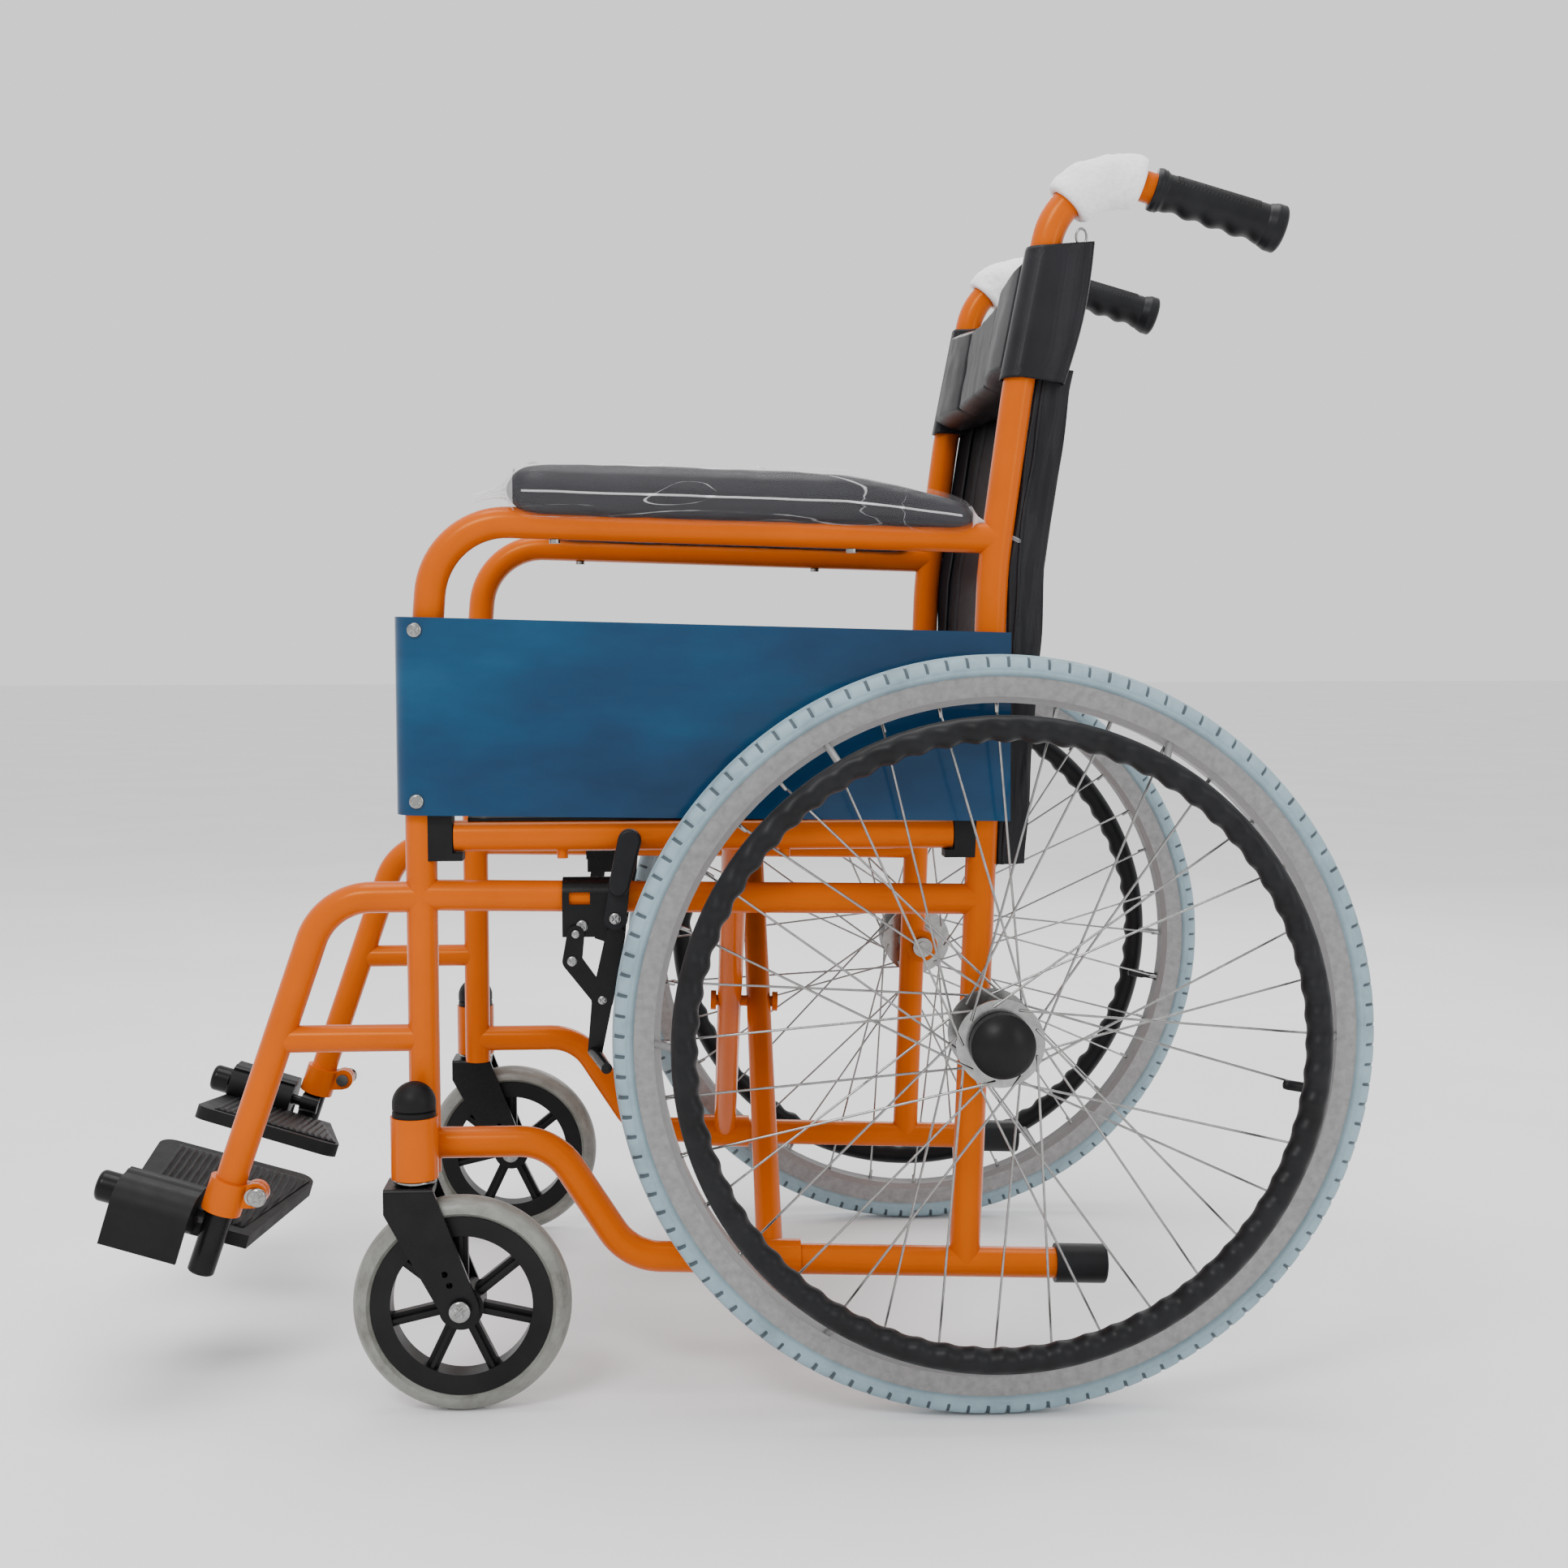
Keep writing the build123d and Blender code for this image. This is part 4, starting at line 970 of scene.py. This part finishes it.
def sleeve_outline(z, shrink=0.0):
    """Outline round the left post at a height: snug in front, a flat sewn edge behind."""
    x = post_x(z)
    rear = x - band_depth(z) - 0.002
    outline = []
    for k in range(21):
        a = radians(100) - radians(100) * k / 20
        outline.append((x + (0.0158 - shrink) * cos(a), FRAME_Y + (0.0160 - shrink) * sin(a)))
    corner = [
        (0.0156, -0.004), (0.0153, -0.0085), (0.0146, -0.0120),
        (0.0128, -0.0145), (0.0100, -0.0154),
    ]
    for dx, dy in corner:
        outline.append((x + dx - shrink, FRAME_Y + dy + shrink * 0.9))
    for dx, dy in [(0.0, -0.0155), (-0.012, -0.0154), (-0.022, -0.0150), (-0.030, -0.0142)]:
        outline.append((x + dx, FRAME_Y + dy + shrink))
    edge = [
        (0.0020, -0.0135), (0.0002, -0.0080), (-0.0008, 0.0020), (0.0012, 0.0105),
        (0.0060, 0.0122), (0.0085, 0.0108), (0.0110, 0.0130),
    ]
    for dx, dy in edge:
        pull = shrink if dx < 0.003 else 0.0
        outline.append((rear + dx + pull, FRAME_Y + dy + (shrink if dy < 0 else -shrink)))
    outline.append((x - 0.014, FRAME_Y + 0.0150 - shrink))
    return outline


def make_back_sleeve(name):
    """Pocket of the back band round the left post, with a stitched line near its rear edge."""
    rows = 40
    outer, inner = [], []
    for i in range(rows + 1):
        v = i / rows
        z = BAND_LOW - 0.002 + (BAND_HIGH - BAND_LOW + 0.002) * v
        ring, inside = [], []
        axis_x = post_x(z)
        for (x, y), (u, w) in zip(sleeve_outline(z), sleeve_outline(z, 0.0016)):
            behind = max(0.0, (axis_x - x) / 0.04)
            lift = 0.004 * behind * v - 0.005 * behind * (1 - v)
            loose = 0.0022 * wobble((x, y, z * 0.6), 38, 12) * min(1.0, behind * 2)
            hem = 0.0009 * exp(-((min(v, 1 - v) * 0.103 - 0.006) / 0.0012) ** 2)
            away = 1 if y > FRAME_Y else -1
            ring.append(Vector((x, y + (loose - hem) * away, z + lift)))
            inside.append(Vector((u, w + loose * away * 0.8, z + lift)))
        outer.append(ring)
        inner.append(inside)
    return loop_shell(name, outer + inner[::-1], UPHOLSTERY, closed=True)


def panel_back(y, z):
    """X of the lower back panel: behind the posts, bowed rearwards between them."""
    height = (z - BACK_LOW) / (BAND_LOW - BACK_LOW)
    inside = max(0.0, 1 - (y / 0.215) ** 2)
    edge = 0.0155 + 0.006 * height
    return post_x(z) - edge - (0.012 + 0.020 * height) * inside ** 0.8


def make_back_panel(name):
    """Lower back panel with a stitched border and soft folds."""
    rows, columns = 110, 110
    top_z = BAND_LOW + 0.012
    points = []
    for i in range(rows + 1):
        z = BACK_LOW + (top_z - BACK_LOW) * i / rows
        for j in range(columns + 1):
            y = PANEL_HALF * (2 * j / columns - 1)
            inside = max(0.0, 1 - (y / PANEL_HALF) ** 2)
            side_stitch = 0.0028 * exp(-((abs(y) - 0.180) / 0.0022) ** 2)
            hem_stitch = 0.002 * exp(-((z - BACK_LOW - 0.022) / 0.002) ** 2)
            stitch = side_stitch + hem_stitch
            fold = 0.0045 * wobble((0, y, z * 0.22), 17, 6) + 0.0014 * wobble((0, y, z), 38, 2)
            points.append(Vector((panel_back(y, z) - stitch + fold * inside ** 0.3, y, z)))
    panel = new_object(name, points, grid_faces(rows + 1, columns + 1), UPHOLSTERY)
    return solidify(fix_normals(panel), 0.0034, 0)


def strip_depth(z):
    """Depth of the panel's turned side at a height."""
    height = max(0.0, (z - BACK_LOW) / (BAND_LOW - BACK_LOW))
    return 0.0235 + 0.007 * min(1.0, height * 1.6)


def strip_point(t, z):
    """Point on the back panel's turned side, 0 at the post and 1 at its rear edge."""
    x = post_x(z) - 0.0134 - strip_depth(z) * t + 0.0022 * wobble((t * 0.5, 0, z), 20, 1)
    y = FRAME_Y + 0.001 - 0.006 * t * t + 0.0022 * wobble((t, 0, z), 17, 7)
    return Vector((x, y, z))


def make_back_flap(name):
    """Turned side of the lower back panel, from its inner edge round to its piped rear edge."""
    rows = 100
    points = []
    across = 26
    for i in range(rows + 1):
        z = BACK_LOW - 0.006 + (BAND_LOW - BACK_LOW + 0.012) * i / rows
        corner = strip_point(1, z)
        for j in range(across + 1):
            t = j / across
            if t < 0.3:
                inner = Vector((panel_back(PANEL_HALF, z) + 0.002, PANEL_HALF - 0.004, z))
                spot = strip_point(0, z).lerp(inner, 1 - t / 0.3)
            elif t < 0.7:
                spot = strip_point((t - 0.3) / 0.4, z)
            else:
                inner = Vector((panel_back(PANEL_HALF, z) - 0.004, PANEL_HALF - 0.010, z))
                spot = corner.lerp(inner, (t - 0.7) / 0.3)
                spot.x -= 0.004 * sin(pi * (t - 0.7) / 0.3)
            points.append(spot)
    flap = new_object(name, points, grid_faces(rows + 1, across + 1), UPHOLSTERY)
    return solidify(fix_normals(flap), 0.0022, 0)


def make_flap_piping(name):
    """Piped welt down the turned side of the back panel."""
    rings = []
    rows = 120
    for i in range(rows + 1):
        z = BACK_LOW - 0.006 + (BAND_LOW - BACK_LOW + 0.01) * i / rows
        spot = strip_point(0.22, z) + Vector((0, 0.0012, 0))
        rings.append(ring_about(spot, (1, 0, 0), (0, 1, 0), 0.0016, 10))
    return loop_shell(name, rings, UPHOLSTERY)


SEAT_REAR = fore(36)
SEAT_FRONT = fore(422)
RAIL_TOP = 0.4635 + TUBE_R


def make_seat(name):
    """Seat sling from rail to rail, hemmed front and rear, with a gentle sag."""
    rows, columns = 90, 110
    half = 0.229
    points = []
    for i in range(rows + 1):
        u = i / rows
        x = SEAT_REAR + (SEAT_FRONT - SEAT_REAR) * u
        for j in range(columns + 1):
            y = half * (2 * j / columns - 1)
            inner = max(0.0, 1 - (abs(y) / 0.212) ** 2) if abs(y) < 0.212 else 0.0
            sag = 0.013 * inner * (0.75 + 0.25 * cos(pi * (u - 0.5)))
            z = RAIL_TOP + 0.0028 - sag
            if abs(y) > 0.222:
                z -= 0.012 * ((abs(y) - 0.222) / 0.007) ** 2 * 0.25
            hem = 0.0012 * exp(-((min(u, 1 - u) - 0.035) / 0.004) ** 2)
            seam = 0.0012 * exp(-((abs(y) - 0.196) / 0.0025) ** 2)
            crumple = 0.0018 * wobble((x, y, 0), 16, 3) * inner
            points.append(Vector((x, y, z - hem - seam + crumple)))
    seat = new_object(name, points, grid_faces(rows + 1, columns + 1), UPHOLSTERY)
    return solidify(fix_normals(seat), 0.0028, 0)


# ------------------------------------------------------------------ small metal details
def screw_head(name, centre, axis, radius, height):
    """Pan head with a cross recess."""
    axis = Vector(axis).normalized()
    first = axis.orthogonal().normalized()
    second = axis.cross(first)
    count, layers = 40, 9
    rings = [ring_about(Vector(centre), first, second, radius, count)]
    for k in range(layers + 1):
        t = k / layers
        r = radius * cos(t * pi / 2 * 0.98)
        ring = []
        for j in range(count):
            a = 2 * pi * j / count
            arm = min(abs(sin(a)), abs(cos(a))) * r
            depth = 0.35 * height if (arm < radius * 0.14 and r < radius * 0.62) else 0.0
            lift = height * (0.35 + 0.65 * sin(t * pi / 2)) - depth
            ring.append(Vector(centre) + (first * cos(a) + second * sin(a)) * r + axis * lift)
        rings.append(ring)
    return loop_shell(name, rings, STEEL)


def make_back_hook(name):
    """Small wire loop on the pocket's upper rear corner."""
    z = BAND_HIGH + 0.008
    centre = Vector((post_x(BAND_HIGH) - 0.028, FRAME_Y + 0.006, z))
    rings = []
    for k in range(40):
        a = 2 * pi * k / 40
        out = Vector((cos(a) * 0.0042, 0, sin(a) * 0.0066))
        rings.append(ring_about(centre + out, out.normalized(), (0, 1, 0), 0.0011, 10))
    return loop_shell(name, rings, STEEL, closed=True)


def add_fasteners():
    """Screw, bolt and rivet heads of both sides, and the washers over the caster forks."""
    for side, hand in SIDES.items():
        out = Vector((0, hand, 0))
        for label, x, y, z, radius, body in (
            ("skirt_screw_upper", 461, 0.2440, 0.630, 0.0058, "frame"),
            ("skirt_screw_lower", 461, 0.2440, 0.493, 0.0058, "frame"),
            ("collar_bolt_head", 594.7, 0.2386, 0.1715, 0.0078, "frame"),
            ("lock_rivet_top", 335, 0.2456, 0.385, 0.0034, "lock_arm"),
            ("lock_rivet_knee", 338, 0.2456, 0.363, 0.0042, "lock_arm"),
            ("lock_rivet_foot", 314, 0.2456, 0.331, 0.0036, "lock_arm"),
            ("lock_bolt_front", 330, 0.2412, 0.391, 0.0050, "frame"),
            ("lock_pivot_head", 303, 0.2502, 0.398, 0.0048, "lock_lever"),
        ):
            head = screw_head(f"{label}_{side}", (fore(x), hand * y, z), out, radius, radius * 0.5)
            settle(head, f"{body}_{side}", "axle_steel")
        caster = pivot(f"caster_spin_{side}")
        for label, y in (("caster_bolt_outer", 0.0255), ("caster_bolt_inner", -0.0255)):
            spot = caster + Vector((0, hand * y, 0))
            head = screw_head(f"{label}_{side}", spot, out * (1 if y > 0 else -1), 0.0088, 0.0042)
            settle(head, f"caster_swivel_{side}", "axle_steel")
        stem = pivot(f"swivel_{side}")
        washer = lathe(
            f"stem_washer_{side}", (stem.x, stem.y, 0.1865), (0, 0, 1),
            [(0, 0.0155), (0.0012, 0.0172), (0.0036, 0.0172), (0.0042, 0.0155)], STEEL,
        )
        settle(washer, f"frame_{side}", "axle_steel")


# ------------------------------------------------------------------ build
PAINT = paint_material()
ENAMEL = black_enamel_material()
PLASTIC = plastic_material("black_plastic")
HUB_PLASTIC = plastic_material("hub_plastic", 500, 0.28, 0.45)
RUBBER = rubber_material()
TYRE = tyre_material("tyre_grey", (0.24, 0.34, 0.385))
# Darker grey for the tyre's sipe faces: painted shade in the grooves.
TYRE_SIPE_SHADE = tyre_material("tyre_sipe_painted_shade", (0.06, 0.085, 0.1))
CASTER_TYRE = caster_tyre_material()
ALLOY = alloy_material()
STEEL = steel_material()
SKIRT = skirt_material()
VINYL = vinyl_material()
UPHOLSTERY = upholstery_material()
FOAM = foam_material()
# Both films carry painted glints as whitish crease lines; the denser one also dresses the gathered
# ends and the pale seam bead, a painted highlight.
FILM = film_material("clear_film", 0.03, 0.5, 0.004)
FILM_GATHER_AND_GLINT = film_material("gathered_film_and_glint", 0.3, 0.8, 0.03)

CAD_LOOKS = {
    PAINT: (
        "front_post", "back_post", "lower_rail", "base_rail", "footrest_hanger", "caster_housing",
    ),
    ENAMEL: ("brake_bracket", "caster_fork", "brake_arm", "footrest_tube"),
    PLASTIC: ("caster_cap", "rail_saddles", "footplate"),
    HUB_PLASTIC: ("hub_cap", "caster_hub"),
    RUBBER: ("push_grip", "tip_cap", "hand_rim", "brake_lever"),
    TYRE: ("rear_tyre",),
    CASTER_TYRE: ("caster_tyre",),
    ALLOY: ("rear_rim",),
    STEEL: ("frame_fasteners", "wheel_hub", "wheel_spokes"),
    SKIRT: ("skirt_panel",),
    VINYL: ("arm_pad",),
    FOAM: ("foam_wrap",),
}


def dress_cad():
    """Gives every CAD node its procedural material."""
    for material, names in CAD_LOOKS.items():
        for name in names:
            for side in SIDES:
                give(frame["nodes"][f"{name}_{side}"], material)
    for name in ("cross_brace_a", "cross_brace_b"):
        give(frame["nodes"][name], PAINT)
    for name in ("seat_sling", "back_sling"):
        give(frame["nodes"][name], UPHOLSTERY)


def give(node, material):
    """Puts one material on the whole of a CAD node."""
    if node.material_slots:
        for slot in node.material_slots:
            slot.material = material
    else:
        node.data.materials.append(material)


def main():
    add_camera()
    add_studio()
    add_floor()
    dress_cad()
    both_sides(make_tyre, "tyre_tread", "wheel", "tyre_grey", "rear_tyre")
    both_sides(make_hand_rim, "wavy_hand_rim", "wheel", "grip_rubber", "hand_rim")
    both_sides(make_valve, "valve_stem", "wheel", "grip_rubber")
    both_sides(make_nipples, "spoke_nipples", "wheel", "axle_steel")
    both_sides(make_grip, "moulded_grip", "frame", "grip_rubber", "push_grip")
    for wrap in both_sides(make_foam, "foam_sleeve", "frame", "foam", "foam_wrap"):
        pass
    for pad in both_sides(make_arm_pad, "stuffed_arm_pad", "frame", "vinyl", "arm_pad"):
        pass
    both_sides(make_pad_seam_glint, "pad_seam", "frame", "vinyl")
    both_sides(make_film, "pad_film", "frame", "vinyl")
    both_sides(make_tread, "footplate_tread", "plate", "black_plastic")
    both_sides(make_back_sleeve, "back_post_sleeve", "frame", "upholstery")
    both_sides(make_back_flap, "back_side_strip", "frame", "upholstery")
    both_sides(make_back_hook, "back_hook", "frame", "axle_steel")
    both_sides(make_flap_piping, "back_strip_piping", "frame", "upholstery")
    add_fasteners()

    panel = make_back_panel("back_panel")
    band = make_band_middle("back_band")
    for cloth in (panel, band):
        settle(cloth, "frame_left", "upholstery", "back_sling")
        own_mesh(cloth)

    seat = make_seat("seat_fabric")
    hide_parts("seat_sling")
    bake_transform(seat)


main()
